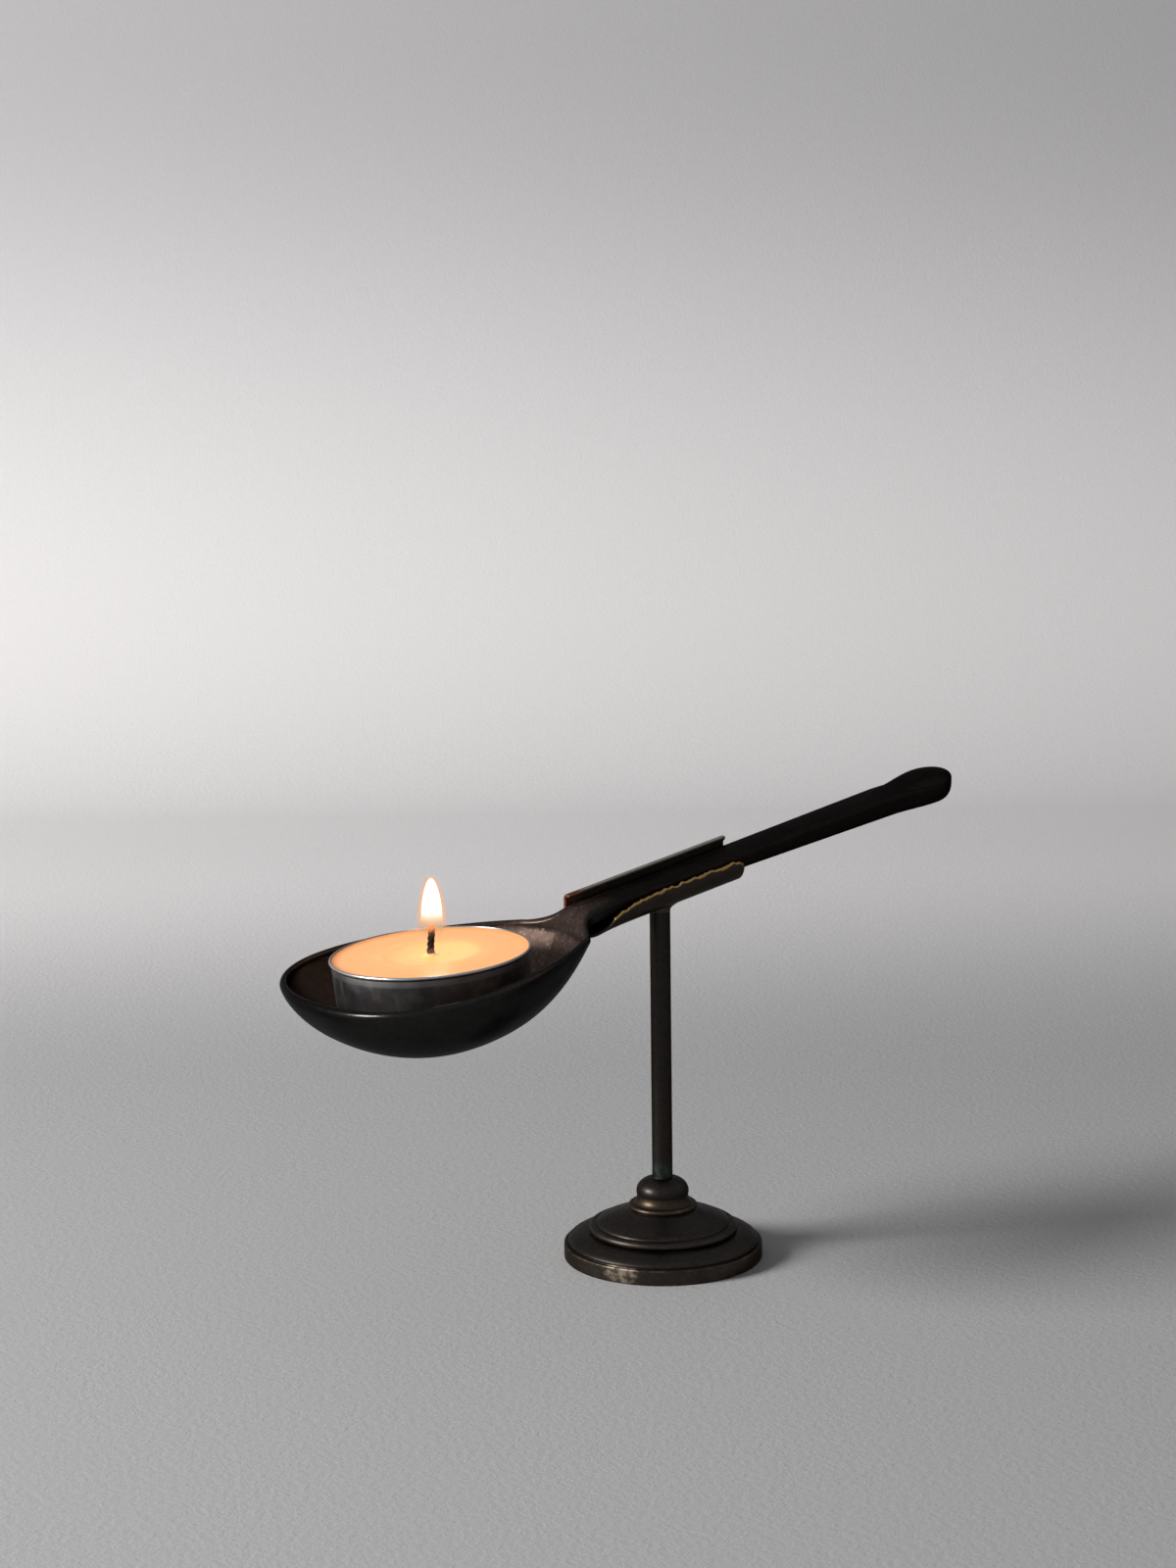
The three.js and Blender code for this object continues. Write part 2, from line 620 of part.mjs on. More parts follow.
// Wick: straight through the wax, then leaning a little where it has burnt.
function wick() {
  const wickTop = waxTop + WICK_ABOVE_WAX;
  const path = new THREE.CatmullRomCurve3([
    new THREE.Vector3(0, 0, tabFloor),
    new THREE.Vector3(0, 0, waxTop / 2),
    new THREE.Vector3(0, 0, waxTop),
    new THREE.Vector3(WICK_LEAN / 2, 0, waxTop + WICK_ABOVE_WAX / 2),
    new THREE.Vector3(WICK_LEAN, 0, wickTop),
  ]);
  const round = new THREE.Shape().absarc(0, 0, WICK_RADIUS, 0, 2 * Math.PI);
  const options = { steps: 12, extrudePath: path, curveSegments: 8, bevelEnabled: false };
  return new THREE.ExtrudeGeometry(round, options);
}

const stand = new THREE.Group();
stand.add(part("base", foot(), DARK_BRASS));
stand.add(part("post", post(), DARK_BRASS));
stand.add(part("clip", clip(), BLACK_BRASS));
stand.add(part("spoon", spoon(), BLACK_BRASS));

const candle = new THREE.Group();
candle.position.copy(candleCentre).addScaledVector(candleAxis, candleSeat());
candle.rotation.y = -radians(CANDLE_PITCH);
candle.add(part("candle_cup", cup(), ALUMINIUM));
candle.add(part("wax", wax(), PEACH_WAX));
candle.add(part("wick_sustainer", sustainer(), TINPLATE));
candle.add(part("wick", wick(), BURNT_COTTON));
stand.add(candle);

export default stand;
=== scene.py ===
"""Candle stand: the finished look of every piece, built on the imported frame.

A turned foot and post carry a folded saddle clip, the clip holds a deep spoon by its bar handle, and
a lit tealight lies in the spoon's bowl. Metres, +Z up, the spoon along X with its bowl towards -X.
"""
import math

import bmesh
import bpy
import numpy as np
from bpy.props import FloatProperty, FloatVectorProperty, IntProperty, PointerProperty
from mathutils import Matrix, Vector


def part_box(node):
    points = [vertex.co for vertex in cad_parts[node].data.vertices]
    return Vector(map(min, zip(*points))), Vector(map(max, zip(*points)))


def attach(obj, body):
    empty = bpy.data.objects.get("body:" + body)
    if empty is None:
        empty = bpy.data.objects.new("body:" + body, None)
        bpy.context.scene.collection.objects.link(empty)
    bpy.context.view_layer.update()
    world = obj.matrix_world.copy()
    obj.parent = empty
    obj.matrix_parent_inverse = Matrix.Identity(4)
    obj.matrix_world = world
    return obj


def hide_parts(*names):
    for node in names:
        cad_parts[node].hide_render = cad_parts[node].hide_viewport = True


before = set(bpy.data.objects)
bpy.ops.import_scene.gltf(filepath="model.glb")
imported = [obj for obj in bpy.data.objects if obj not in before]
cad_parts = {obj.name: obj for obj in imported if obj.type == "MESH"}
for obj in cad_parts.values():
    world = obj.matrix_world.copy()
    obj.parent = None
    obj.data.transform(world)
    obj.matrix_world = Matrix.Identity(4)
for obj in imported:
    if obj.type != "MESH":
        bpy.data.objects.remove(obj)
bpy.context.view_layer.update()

bl_info = {
    "name": "Candle stand",
    "version": (1, 0, 0),
    "blender": (4, 5, 0),
    "location": "View3D > Sidebar > Candle stand",
    "description": "Builds a candle stand with a spoon for a tealight, piece by piece",
    "category": "Add Mesh",
}

MM = 0.001
WELD = 1.5e-6
FULL_TURN = 2 * math.pi


# What a user would change

def length(name, description, millimetres):
    return FloatProperty(name=name, description=description, default=millimetres * MM, min=0.0,
                         precision=5, unit="LENGTH")


def turn(name, description, degrees):
    return FloatProperty(name=name, description=description, default=math.radians(degrees),
                         subtype="ANGLE")


def portion(name, description, value):
    return FloatProperty(name=name, description=description, default=value, min=0.0, max=1.0,
                         subtype="FACTOR")


def number(name, description, value):
    return FloatProperty(name=name, description=description, default=value, min=0.0)


def colour(name, description, red, green, blue):
    return FloatVectorProperty(name=name, description=description, default=(red, green, blue),
                               min=0.0, max=1.0, subtype="COLOR")


class FootSizes(bpy.types.PropertyGroup):
    """The turned foot, from the ground up"""
    radius: length("Foot radius", "Radius of the band that stands on the table", 19.9)
    band_height: length("Band height", "Height of the plain band", 3.1)
    band_edge: length("Band edge", "Rounding of the band's two edges", 0.35)
    groove_depth: length("Groove depth", "How far the groove over the band is cut in", 0.6)
    ovolo_height: length("Ovolo height", "Height of the quarter round over the groove", 2.2)
    step_radius: length("Step radius", "Radius where the quarter round ends", 14.3)
    step_bead: length("Step bead", "Height of the bead on the step", 1.55)
    dome_radius: length("Dome radius", "Radius at the dome's foot", 13.4)
    dome_rise: length("Dome rise", "Height of the dome", 3.05)
    ring_radius: length("Ring radius", "Radius of the ring on the dome", 6.65)
    ring_bead: length("Ring bead", "Height of that ring", 1.05)
    neck_radius: length("Neck radius", "Radius of the neck under the knob", 5.15)
    neck_height: length("Neck height", "Height of the hollow neck", 1.75)
    knob_radius: length("Knob radius", "Radius of the knob", 5.3)
    knob_height: length("Knob height", "Height of the knob", 3.4)
    knob_land: length("Knob land", "Radius of the flat that the post stands on", 2.6)
    dents: length("Dents", "How far wear and handling have moved the surface", 0.045)
    sides: IntProperty(name="Sides", description="Sides of the turned foot", default=144, min=24)


class PostSizes(bpy.types.PropertyGroup):
    """The round post and its tenon"""
    radius: length("Post radius", "Radius of the rod", 2.05)
    top: length("Post top", "Height of the rod's top", 70.5)
    tenon_radius: length("Tenon radius", "Radius of the tenon in the foot", 1.5)
    tenon_clearance: length("Tenon clearance", "Room round the tenon", 0.1)
    rivet_radius: length("Rivet radius", "Radius of the tenon's spread end", 2.9)
    solder_reach: length("Solder reach", "How far the solder runs out under the clip", 4.4)
    waviness: length("Waviness", "How far the rod's skin leaves a true cylinder", 0.03)
    sides: IntProperty(name="Sides", description="Sides of the rod", default=64, min=12)


class ClipSizes(bpy.types.PropertyGroup):
    """The saddle clip, bent from sheet"""
    sheet: length("Sheet", "Thickness of the sheet", 0.8)
    radius: length("Clip radius", "Outer radius of the saddle", 5.8)
    left: length("Left reach", "How far the clip reaches towards the bowl", 19.2)
    right: length("Right reach", "How far the clip reaches towards the handle's end", 20)
    solder_gap: length("Solder gap", "Thickness of the solder on the post's top", 0.15)
    near_edge: turn("Near edge", "Angle at which the near wall ends", 83)
    far_rise: length("Far rise", "Straight part of the far wall", 0.9)
    lip_bend: length("Lip bend", "Outer radius of the fold over the handle", 1.1)
    lip_fold: turn("Lip fold", "How far the far wall is folded over", 90)
    lip_width: length("Lip width", "Width of the folded lip", 0.9)
    right_skew: length("Right skew", "How far the right end is cut askew", 3.1)
    left_skew: length("Left skew", "How far the left end is cut askew", 3.8)
    corner_round: length("Corner round", "Radius of the near right corner", 1.8)
    lip_corner: length("Lip corner", "Radius of the folded lip's right corner", 1.2)
    lip_nose: length("Lip nose", "Radius over which the lip's right end turns down", 0.7)
    right_square: portion("Right square", "Share of the section after which the right end is square", 0.62)
    left_square: portion("Left square", "Share of the section after which the left end is square", 0.27)
    corner_trim: length("Corner trim", "How far the near left corner is trimmed", 0.9)
    dip: length("Dip", "How far the near edge dips towards the bowl", 3.2)
    dip_length: length("Dip length", "Length of that dip", 16)
    broken_edge: length("Broken edge", "Width over which the sheet's edges are rounded", 0.42)
    raggedness: length("Raggedness", "How ragged the near cut edge is", 0.3)


class SpoonSizes(bpy.types.PropertyGroup):
    """The spoon's handle, neck and bowl"""
    pitch: turn("Handle pitch", "Rise of the handle", 11)
    seat: length("Handle seat", "Height of the handle's top over the clip's floor", 6)
    width: length("Handle width", "Width of the handle in the clip", 8.6)
    thickness: length("Handle thickness", "Thickness of the handle in the clip", 3.4)
    growth: length("Handle growth", "How much the handle widens towards its end", 1.6)
    end_width: length("End width", "Width of the handle's round end", 11.8)
    end_thickness: length("End thickness", "Thickness of the handle at its end", 4.9)
    end_lift: length("End lift", "How far the round end lifts", 1.15)
    end_swell: length("End swell", "How far the round end swells", 1.6)
    end_dome: length("End dome", "How far the round end's edge lies below its top", 2.2)
    flare: length("Flare", "Length over which the handle opens into its end", 12)
    reach: length("Handle reach", "Distance from the post to the handle's end", 75.3)
    crown: length("Crown", "Crown of the handle's top", 0.15)
    neck_end: length("Neck end", "Distance from the post to the neck's upper end", 18.4)
    neck_run: length("Neck run", "Length of the neck", 6.5)
    neck_drop: length("Neck drop", "Drop of the neck", 3.45)
    bowl_length: length("Bowl length", "Length of the bowl's rim", 54.7)
    bowl_width: length("Bowl width", "Width of the bowl's rim", 54.4)
    widest: length("Widest", "Distance from the tip to the widest place", 21)
    tip_fullness: number("Tip fullness", "2 is an ellipse, more is squarer", 2.3)
    shoulder: length("Shoulder", "Half the bowl's width where the neck starts", 11.6)
    flank_start: portion("Flank start", "Pull of the flank at the widest place", 0.33)
    flank_end: portion("Flank end", "Pull of the flank at the shoulder", 0.2)
    flank_spread: portion("Flank spread", "Spread of the flank at the shoulder", 0.24)
    neck_pull: portion("Neck pull", "Pull of the neck's curve", 0.42)
    rim_pitch: turn("Rim pitch", "Rise of the rim from the tip", 7.2)
    rim_arch: length("Rim arch", "Arch of the rim, seen from the side", 0.7)
    edge: length("Edge", "Thickness of the rim", 1.5)
    wall: length("Wall", "Thickness of the bowl's floor", 1.2)
    depth: length("Bowl depth", "Depth of the bowl outside", 15.7)
    deepest: length("Deepest", "Distance from the tip to the deepest place", 31)
    overhang: length("Heel overhang", "How far the heel reaches under the neck", 1.3)


class TealightSizes(bpy.types.PropertyGroup):
    """The tealight's cup, wax and wick"""
    radius: length("Radius", "Outer radius of the rolled rim", 19)
    height: length("Height", "Height of the cup", 11.8)
    pitch: turn("Pitch", "How far the tealight leans with the bowl", 4.2)
    wall: length("Cup wall", "Thickness of the cup", 0.25)
    foil: length("Foil", "Thickness of the cup's foil where it shows", 0.12)
    seam: length("Seam", "Room between the foil and the wax", 0.04)
    taper: length("Taper", "How much narrower the cup's foot is", 0.5)
    roll: length("Rim roll", "How far the rim is rolled out", 0.35)
    foot_round: length("Foot round", "Radius at the cup's foot", 1.2)
    below_rim: length("Wax below rim", "How far the wax lies below the rim", 0.4)
    gap: length("Gap", "Room between the cup and the wax", 0.15)
    pool_radius: length("Pool radius", "Radius of the melted pool", 9)
    pool_depth: length("Pool depth", "Depth of the pool's surface", 0.4)
    tab_radius: length("Tab radius", "Radius of the wick's tin plate", 6.5)
    tab_thickness: length("Tab thickness", "Thickness of that plate", 0.3)
    collar_wall: length("Collar wall", "Thickness of the plate's collar", 0.35)
    collar_height: length("Collar height", "Height of the collar", 4)
    wick_radius: length("Wick radius", "Radius of the braided wick", 0.75)
    wick_above: length("Wick above wax", "How far the wick stands over the wax", 5.4)
    wick_lean: length("Wick lean", "How far the wick's tip leans", 0.75)
    strands: IntProperty(name="Strands", description="Strands in the wick", default=3, min=2)
    strand_radius: length("Strand radius", "Radius of one strand", 0.36)
    strand_pitch: length("Strand pitch", "Length of one turn of a strand", 3.4)


class FlameSizes(bpy.types.PropertyGroup):
    """The flame over the wick"""
    radius: length("Flame radius", "Radius at the widest place", 2.0)
    foot: length("Flame foot", "How far the flame starts below the wick's tip", 2.2)
    height: length("Flame height", "Height of the flame", 10.9)
    mantle: length("Mantle", "Thickness of the orange edge", 0.45)
    halo: length("Halo", "Thickness of the faint glow", 0.9)
    strength: number("Strength", "Brightness of the flame's core", 3.0)
    mirrored: number("Mirrored", "How much more light metal mirrors from the flame", 8.0)


class Finishes(bpy.types.PropertyGroup):
    """Colours of the metals, the wax and the wick"""
    # Also paints the shadow under the tealight cup's rolled rim
    foot_metal: colour("Foot metal", "Brown patina of the foot", 0.060, 0.046, 0.036)
    foot_dark: colour("Foot dark", "Dark patina in the foot's hollows", 0.024, 0.020, 0.018)
    worn_brass: colour("Worn brass", "Brass that handling has rubbed bare", 0.36, 0.29, 0.22)
    # Also paints the highlight on the foot's step bead
    rubbed_edge: colour("Rubbed edge", "Edges of the foot that hands have rubbed", 0.11, 0.084, 0.058)
    amber: colour("Amber", "Warm tint of the foot's neck", 0.040, 0.025, 0.013)
    post_metal: colour("Post metal", "Patina of the post", 0.027, 0.022, 0.018)
    verdigris: colour("Verdigris", "Green tint at the post's foot", 0.040, 0.062, 0.060)
    clip_metal: colour("Clip metal", "Patina of the clip", 0.066, 0.054, 0.044)
    clip_red: colour("Clip red", "Reddish tint at the clip's left end", 0.16, 0.060, 0.040)
    # Painted highlight on the upward-facing top of the clip's folded lip
    lip_grey: colour("Lip grey", "Top of the clip's folded lip", 0.32, 0.305, 0.28)
    cut_brass: colour("Cut brass", "Brass of the clip's cut edges", 0.33, 0.205, 0.075)
    bowl_black: colour("Bowl black", "Outside of the bowl", 0.020, 0.019, 0.018)
    bowl_dark: colour("Bowl dark", "Inside of the bowl, towards its tip", 0.048, 0.026, 0.017)
    bowl_brown: colour("Bowl brown", "Inside of the bowl's heel", 0.058, 0.031, 0.022)
    neck_brown: colour("Neck brown", "Top of the neck", 0.075, 0.050, 0.042)
    # Black of the handle, which also paints the shade that the clip casts on it
    handle_black: colour("Handle black", "Handle", 0.012, 0.010, 0.009)
    aluminium: colour("Aluminium", "Tealight cup", 0.20, 0.205, 0.215)
    # Pale aluminium for the cup's clouds and scratch, and for the painted highlight on its rim and the band
    # under it
    cup_band: colour("Cup band", "The cup under its rim", 0.86, 0.82, 0.78)
    tin: colour("Tin", "The wick's plate", 0.42, 0.42, 0.43)
    wax_rim: colour("Wax at the rim", "Wax away from the flame", 0.95, 0.42, 0.17)
    wax_edge: colour("Wax edge", "Wax against the foil", 0.80, 0.26, 0.085)
    # Also the painted glow of the flame's light in the wax near the wick
    wax_pool: colour("Wax at the wick", "Melted wax round the wick", 0.95, 0.56, 0.20)
    char: colour("Char", "Burnt wick", 0.014, 0.009, 0.007)
    ember: colour("Ember", "Glowing tip of the wick", 1.0, 0.24, 0.02)
    flame_white: colour("Flame white", "Body of the flame", 1.0, 0.95, 0.86)
    flame_yellow: colour("Flame yellow", "Foot of the flame", 0.36, 0.23, 0.09)
    flame_orange: colour("Flame orange", "Edge of the flame", 1.0, 0.50, 0.25)


class StageSettings(bpy.types.PropertyGroup):
    """Floor, backdrop, lights and camera"""
    floor: colour("Floor", "Colour of the floor", 0.47, 0.47, 0.475)
    wall: colour("Wall", "Colour of the backdrop near the floor", 0.90, 0.885, 0.89)
    wall_top: colour("Wall top", "Colour of the backdrop higher up", 0.50, 0.495, 0.51)
    key_power: FloatProperty(name="Key power", description="Power of the large soft lamp",
                             default=24.0, min=0.0, unit="POWER")
    key_height: turn("Key height", "How high the lamp stands", 23)
    key_swing: turn("Key swing", "How far the lamp is swung towards the camera", 20)
    key_distance: FloatProperty(name="Key distance", description="Distance of the lamp",
                                default=1.3, min=0.1, unit="LENGTH")
    key_size: FloatProperty(name="Key size", description="Width of the lamp", default=0.45,
                            min=0.01, unit="LENGTH")
    sky: number("Sky", "Strength of the light from all round", 0.16)
    pale: number("Pale", "How much brighter the surroundings are seen, and mirrored", 0.34)
    focal_length: FloatProperty(name="Focal length", description="Camera lens in millimetres",
                                default=63.0, min=10.0)


# Nodes

class Nodes:
    """Adds nodes to one tree and joins them."""

    def __init__(self, tree):
        self.tree = tree

    def put(self, socket, value):
        if isinstance(value, bpy.types.NodeSocket):
            self.tree.links.new(value, socket)
        else:
            socket.default_value = value

    def add(self, kind, inputs=None, **settings):
        node = self.tree.nodes.new(kind)
        for name, value in settings.items():
            setattr(node, name, value)
        self.fill(node, inputs or {})
        return node

    def fill(self, node, inputs):
        for name, value in inputs.items():
            self.put(node.inputs[name], value)

    def sum(self, operation, *values):
        return self.add("ShaderNodeMath", dict(enumerate(values)), operation=operation).outputs[0]

    def times(self, first, *others):
        for value in others:
            first = self.sum("MULTIPLY", first, value)
        return first

    def shifted(self, value, mask, amount):
        """A value that a mask between 0 and 1 moves up and down, by half the amount each way."""
        return self.sum("MULTIPLY_ADD", self.sum("SUBTRACT", mask, 0.5), amount, value)

    def vector_sum(self, operation, *values):
        node = self.add("ShaderNodeVectorMath", dict(enumerate(values)), operation=operation)
        return node.outputs["Value" if operation in ("LENGTH", "DISTANCE", "DOT_PRODUCT") else "Vector"]

    def scaled(self, vector, share):
        return self.add("ShaderNodeVectorMath", {0: vector, "Scale": share}, operation="SCALE").outputs[0]

    def parts(self, vector):
        return self.add("ShaderNodeSeparateXYZ", {0: vector}).outputs

    def joined(self, x, y, z=0.0):
        return self.add("ShaderNodeCombineXYZ", {0: x, 1: y, 2: z}).outputs[0]

    def facing_up(self):
        return self.parts(self.add("ShaderNodeNewGeometry").outputs["Normal"])["Z"]

    def step(self, value, low, high, start=0.0, end=1.0):
        """Runs smoothly from start to end while the value goes from low to high."""
        return self.add("ShaderNodeMapRange", {
            "Value": value, "From Min": low, "From Max": high, "To Min": start, "To Max": end},
            interpolation_type="SMOOTHSTEP", data_type="FLOAT").outputs[0]

    def band(self, value, low, high, soft):
        """1 between two values and 0 outside them."""
        return self.times(self.step(value, low - soft, low + soft),
                          self.step(value, high - soft, high + soft, 1.0, 0.0))

    def tint(self, share, first, second):
        """Colour between two colours."""
        node = self.add("ShaderNodeMix", data_type="RGBA")
        for place, value in ((0, share), (6, first), (7, second)):
            if not isinstance(value, bpy.types.NodeSocket) and place:
                value = (*value, 1.0)
            self.put(node.inputs[place], value)
        return node.outputs[2]

    def layered(self, tone, layers):
        """A colour with more colours over it, each where its mask shows."""
        for mask, colour in layers:
            tone = self.tint(mask, tone, colour)
        return tone

    def noise(self, vector, scale, detail=4.0, roughness=0.55):
        return self.add("ShaderNodeTexNoise", {
            "Vector": vector, "Scale": scale, "Detail": detail, "Roughness": roughness}).outputs[0]

    def attribute(self, name):
        return self.add("ShaderNodeAttribute", attribute_name=name).outputs["Fac"]

    def seeded_noise(self, seed, scale, detail):
        """Noise that pushes points about, another for each seed."""
        return self.add("ShaderNodeTexNoise", {
            "Vector": self.add("GeometryNodeInputPosition").outputs[0], "W": seed, "Scale": scale,
            "Detail": detail}, noise_dimensions="4D").outputs

    def turned_about(self, radius, angle, height=0.0):
        return self.joined(self.times(radius, self.sum("COSINE", angle)),
                           self.times(radius, self.sum("SINE", angle)), height)

    def put_out(self, out, geometry, material):
        """Ends a tree with one plain mesh in that material."""
        real = self.add("GeometryNodeRealizeInstances", {"Geometry": geometry})
        painted = self.add("GeometryNodeSetMaterial", {"Geometry": real.outputs[0], "Material": material})
        self.fill(out, {"Geometry": painted.outputs[0]})

    def group(self, tree, inputs):
        return self.add("ShaderNodeGroup", inputs, node_tree=tree)

    def bump(self, shader, strength, distance, height):
        node = self.add("ShaderNodeBump", {"Strength": strength, "Distance": distance, "Height": height})
        self.put(shader.inputs["Normal"], node.outputs[0])


def node_group(name, kind, inputs, outputs):
    """An empty group with named sockets, what it is given, and its output node. A socket has either its
    type or a number to start from."""
    tree = bpy.data.node_groups.new(name, kind)
    for way, sockets in (("INPUT", inputs), ("OUTPUT", outputs)):
        for label, entry in sockets.items():
            plain = isinstance(entry, str)
            socket = entry if plain else type(entry).__name__.capitalize()
            item = tree.interface.new_socket(name=label, in_out=way, socket_type="NodeSocket" + socket)
            if not plain:
                item.default_value = entry
    nodes = Nodes(tree)
    return nodes, nodes.add("NodeGroupInput").outputs, nodes.add("NodeGroupOutput")


def patina_group():
    """Cloudy patina: a broad mask, a fine grain and a height."""
    nodes, given, out = node_group(
        "Patina", "ShaderNodeTree",
        {"Vector": "Vector", "Scale": 200.0, "Contrast": 0.3},
        {"Cloud": "Float", "Grain": "Float", "Height": "Float"})
    vector, scale = given["Vector"], given["Scale"]
    broad = nodes.noise(vector, scale, 6.0, 0.62)
    fine = nodes.noise(vector, nodes.times(scale, 9.0), 3.0, 0.6)
    low = nodes.sum("SUBTRACT", 0.5, given["Contrast"])
    high = nodes.sum("ADD", 0.5, given["Contrast"])
    nodes.fill(out, {"Cloud": nodes.step(broad, low, high), "Grain": nodes.step(fine, 0.34, 0.66),
                     "Height": nodes.sum("MULTIPLY_ADD", fine, 0.45, broad)})
    return nodes.tree


def wear_group():
    """Where handling rubs an edge bare."""
    nodes, given, out = node_group(
        "Edge wear", "ShaderNodeTree",
        {"Vector": "Vector", "Edge": 0.0, "Scale": 400.0,
         "Amount": 0.5},
        {"Mask": "Float"})
    patchy = nodes.noise(given["Vector"], given["Scale"], 5.0, 0.65)
    raised = nodes.shifted(given["Edge"], patchy, 1.6)
    start = nodes.sum("SUBTRACT", 1.0, given["Amount"])
    nodes.fill(out, {"Mask": nodes.step(raised, start, nodes.sum("ADD", start, 0.5))})
    return nodes.tree


def turning_group():
    """Fine rings that the lathe leaves on a turned face."""
    nodes, given, out = node_group(
        "Turning marks", "ShaderNodeTree",
        {"Vector": "Vector", "Rings": 3000.0},
        {"Height": "Float"})
    parts = nodes.parts(given["Vector"])
    far = nodes.vector_sum("LENGTH", nodes.joined(parts["X"], parts["Y"]))
    line = nodes.joined(far, 0.0, parts["Z"])
    nodes.fill(out, {"Height": nodes.noise(line, given["Rings"], 2.0, 0.5)})
    return nodes.tree


def dust_group():
    """Pale dust in patches on what faces up."""
    nodes, given, out = node_group(
        "Dust", "ShaderNodeTree",
        {"Vector": "Vector", "Upward": 0.0, "Amount": 0.2},
        {"Mask": "Float"})
    patchy = nodes.noise(given["Vector"], 900.0, 6.0, 0.7)
    settled = nodes.times(nodes.step(patchy, 0.45, 0.8), nodes.step(given["Upward"], 0.2, 0.9))
    nodes.fill(out, {"Mask": nodes.times(settled, given["Amount"])})
    return nodes.tree


def shared(name, maker):
    """A node group that is built once."""
    return bpy.data.node_groups.get(name) or maker()


def new_material(name):
    made = bpy.data.materials.new(name)
    made.use_nodes = True
    made.node_tree.nodes.clear()
    nodes = Nodes(made.node_tree)
    shader = nodes.add("ShaderNodeBsdfPrincipled")
    nodes.add("ShaderNodeOutputMaterial", {"Surface": shader.outputs[0]})
    return made, nodes, shader


def object_place(nodes):
    return nodes.add("ShaderNodeTexCoord").outputs["Object"]


DUST = (0.32, 0.30, 0.28)


def metal(name, dark, light, worn, scale=260.0, contrast=0.22, rough=(0.34, 0.52), wear=0.5,
          edge="wear", coat=0.25, coat_roughness=0.3, grain=0.00005, turned=False, stains=None, dust=0.03,
          glancing=0.4, polished=0.0):
    """Old patinated metal. stains gives more colours, each with the mask where it shows, and coat may
    be a mask too. glancing is how brightly the metal mirrors where it is seen at a low angle, and
    polished how much smoother the edges are."""
    made, nodes, shader = new_material(name)
    place = object_place(nodes)
    patina = nodes.group(shared("Patina", patina_group), {
        "Vector": place, "Scale": scale, "Contrast": contrast})
    tone = nodes.tint(patina.outputs["Cloud"], dark, light)
    tone = nodes.layered(tone, stains(nodes, place) if stains else [])
    tone = nodes.scaled(tone, nodes.sum("MULTIPLY_ADD", patina.outputs["Grain"], 0.3, 0.85))
    rubbed = nodes.group(shared("Edge wear", wear_group), {
        "Vector": place, "Edge": nodes.attribute(edge), "Scale": scale * 2.5, "Amount": wear})
    settled = nodes.group(shared("Dust", dust_group), {
        "Vector": place, "Upward": nodes.facing_up(), "Amount": dust}).outputs["Mask"]
    smooth = nodes.times(nodes.step(patina.outputs["Cloud"], 0.0, 1.0, rough[1], rough[0]),
                         nodes.sum("MULTIPLY_ADD", nodes.attribute(edge), -polished, 1.0))
    nodes.fill(shader, {
        "Base Color": nodes.layered(tone, [(rubbed.outputs["Mask"], worn), (settled, DUST)]),
        "Roughness": nodes.sum("ADD", smooth, settled),
        "Metallic": nodes.step(settled, 0.0, 1.0, 1.0, 0.0),
        "Coat Weight": coat(nodes) if callable(coat) else coat, "Coat Roughness": coat_roughness,
        "Specular Tint": (glancing, glancing, glancing, 1.0)})
    height = patina.outputs["Height"]
    if turned:
        rings = nodes.group(shared("Turning marks", turning_group), {"Vector": place, "Rings": 2600.0})
        height = nodes.sum("MULTIPLY_ADD", rings.outputs["Height"], 0.6, height)
    nodes.bump(shader, 0.7, grain, height)
    return made


# Meshes

class Outline:
    """A profile drawn as radius and height, with lines and Bezier curves."""

    def __init__(self, *start):
        self.points = [np.array(start, float)]

    def line(self, *end):
        self.points.append(np.array(end, float))
        return self

    def curve(self, *controls, steps=14):
        """A Bezier curve from the last point through these control points."""
        poles = np.array([self.points[-1], *controls])
        for share in np.linspace(0, 1, steps + 1)[1:]:
            level = poles
            while len(level) > 1:
                level = level[:-1] * (1 - share) + level[1:] * share
            self.points.append(level[0])
        return self


def softened(points, reach, steps=4):
    """Rounds each corner of a profile that turns sharply."""
    soft = [points[0]]
    for before, here, after in zip(points, points[1:], points[2:]):
        back, ahead = before - here, after - here
        spans = np.linalg.norm(back), np.linalg.norm(ahead)
        cosine = float(back @ ahead) / (spans[0] * spans[1])
        if cosine < -0.88 or here[0] < WELD:
            soft.append(here)
            continue
        start = here + back / spans[0] * min(reach, 0.45 * spans[0])
        end = here + ahead / spans[1] * min(reach, 0.45 * spans[1])
        for share in np.linspace(0, 1, steps + 1):
            soft.append(start * (1 - share) ** 2 + here * 2 * share * (1 - share) + end * share ** 2)
    soft.append(points[-1])
    return soft


def spaced(points, gap):
    """Splits the long stretches of a profile."""
    split = [points[0]]
    for before, here in zip(points, points[1:]):
        count = max(1, math.ceil(np.linalg.norm(here - before) / gap))
        split.extend(before + (here - before) * step / count for step in range(1, count + 1))
    return np.array(split)


def convexity(points, reach):
    """How far each point of a profile stands out, from 0 in a hollow to 1 on a sharp edge."""
    along = np.diff(points, axis=0)
    spans = np.linalg.norm(along, axis=1)
    heading = np.unwrap(np.arctan2(along[:, 1], along[:, 0]))
    bend = np.diff(heading) / np.maximum((spans[1:] + spans[:-1]) / 2, WELD)
    sharp = np.concatenate([[0], bend * reach, [0]])
    far = np.concatenate([[0], np.cumsum(spans)])
    weight = np.exp(-((far[:, None] - far[None, :]) / (reach / 2)) ** 2)
    return np.clip((weight @ sharp) / weight.sum(1), 0, 1)


def eased(value, low, high):
    """Runs smoothly from 0 to 1 while the value goes from low to high."""
    share = np.clip((value - low) / (high - low), 0, 1)
    return share * share * (3 - 2 * share)


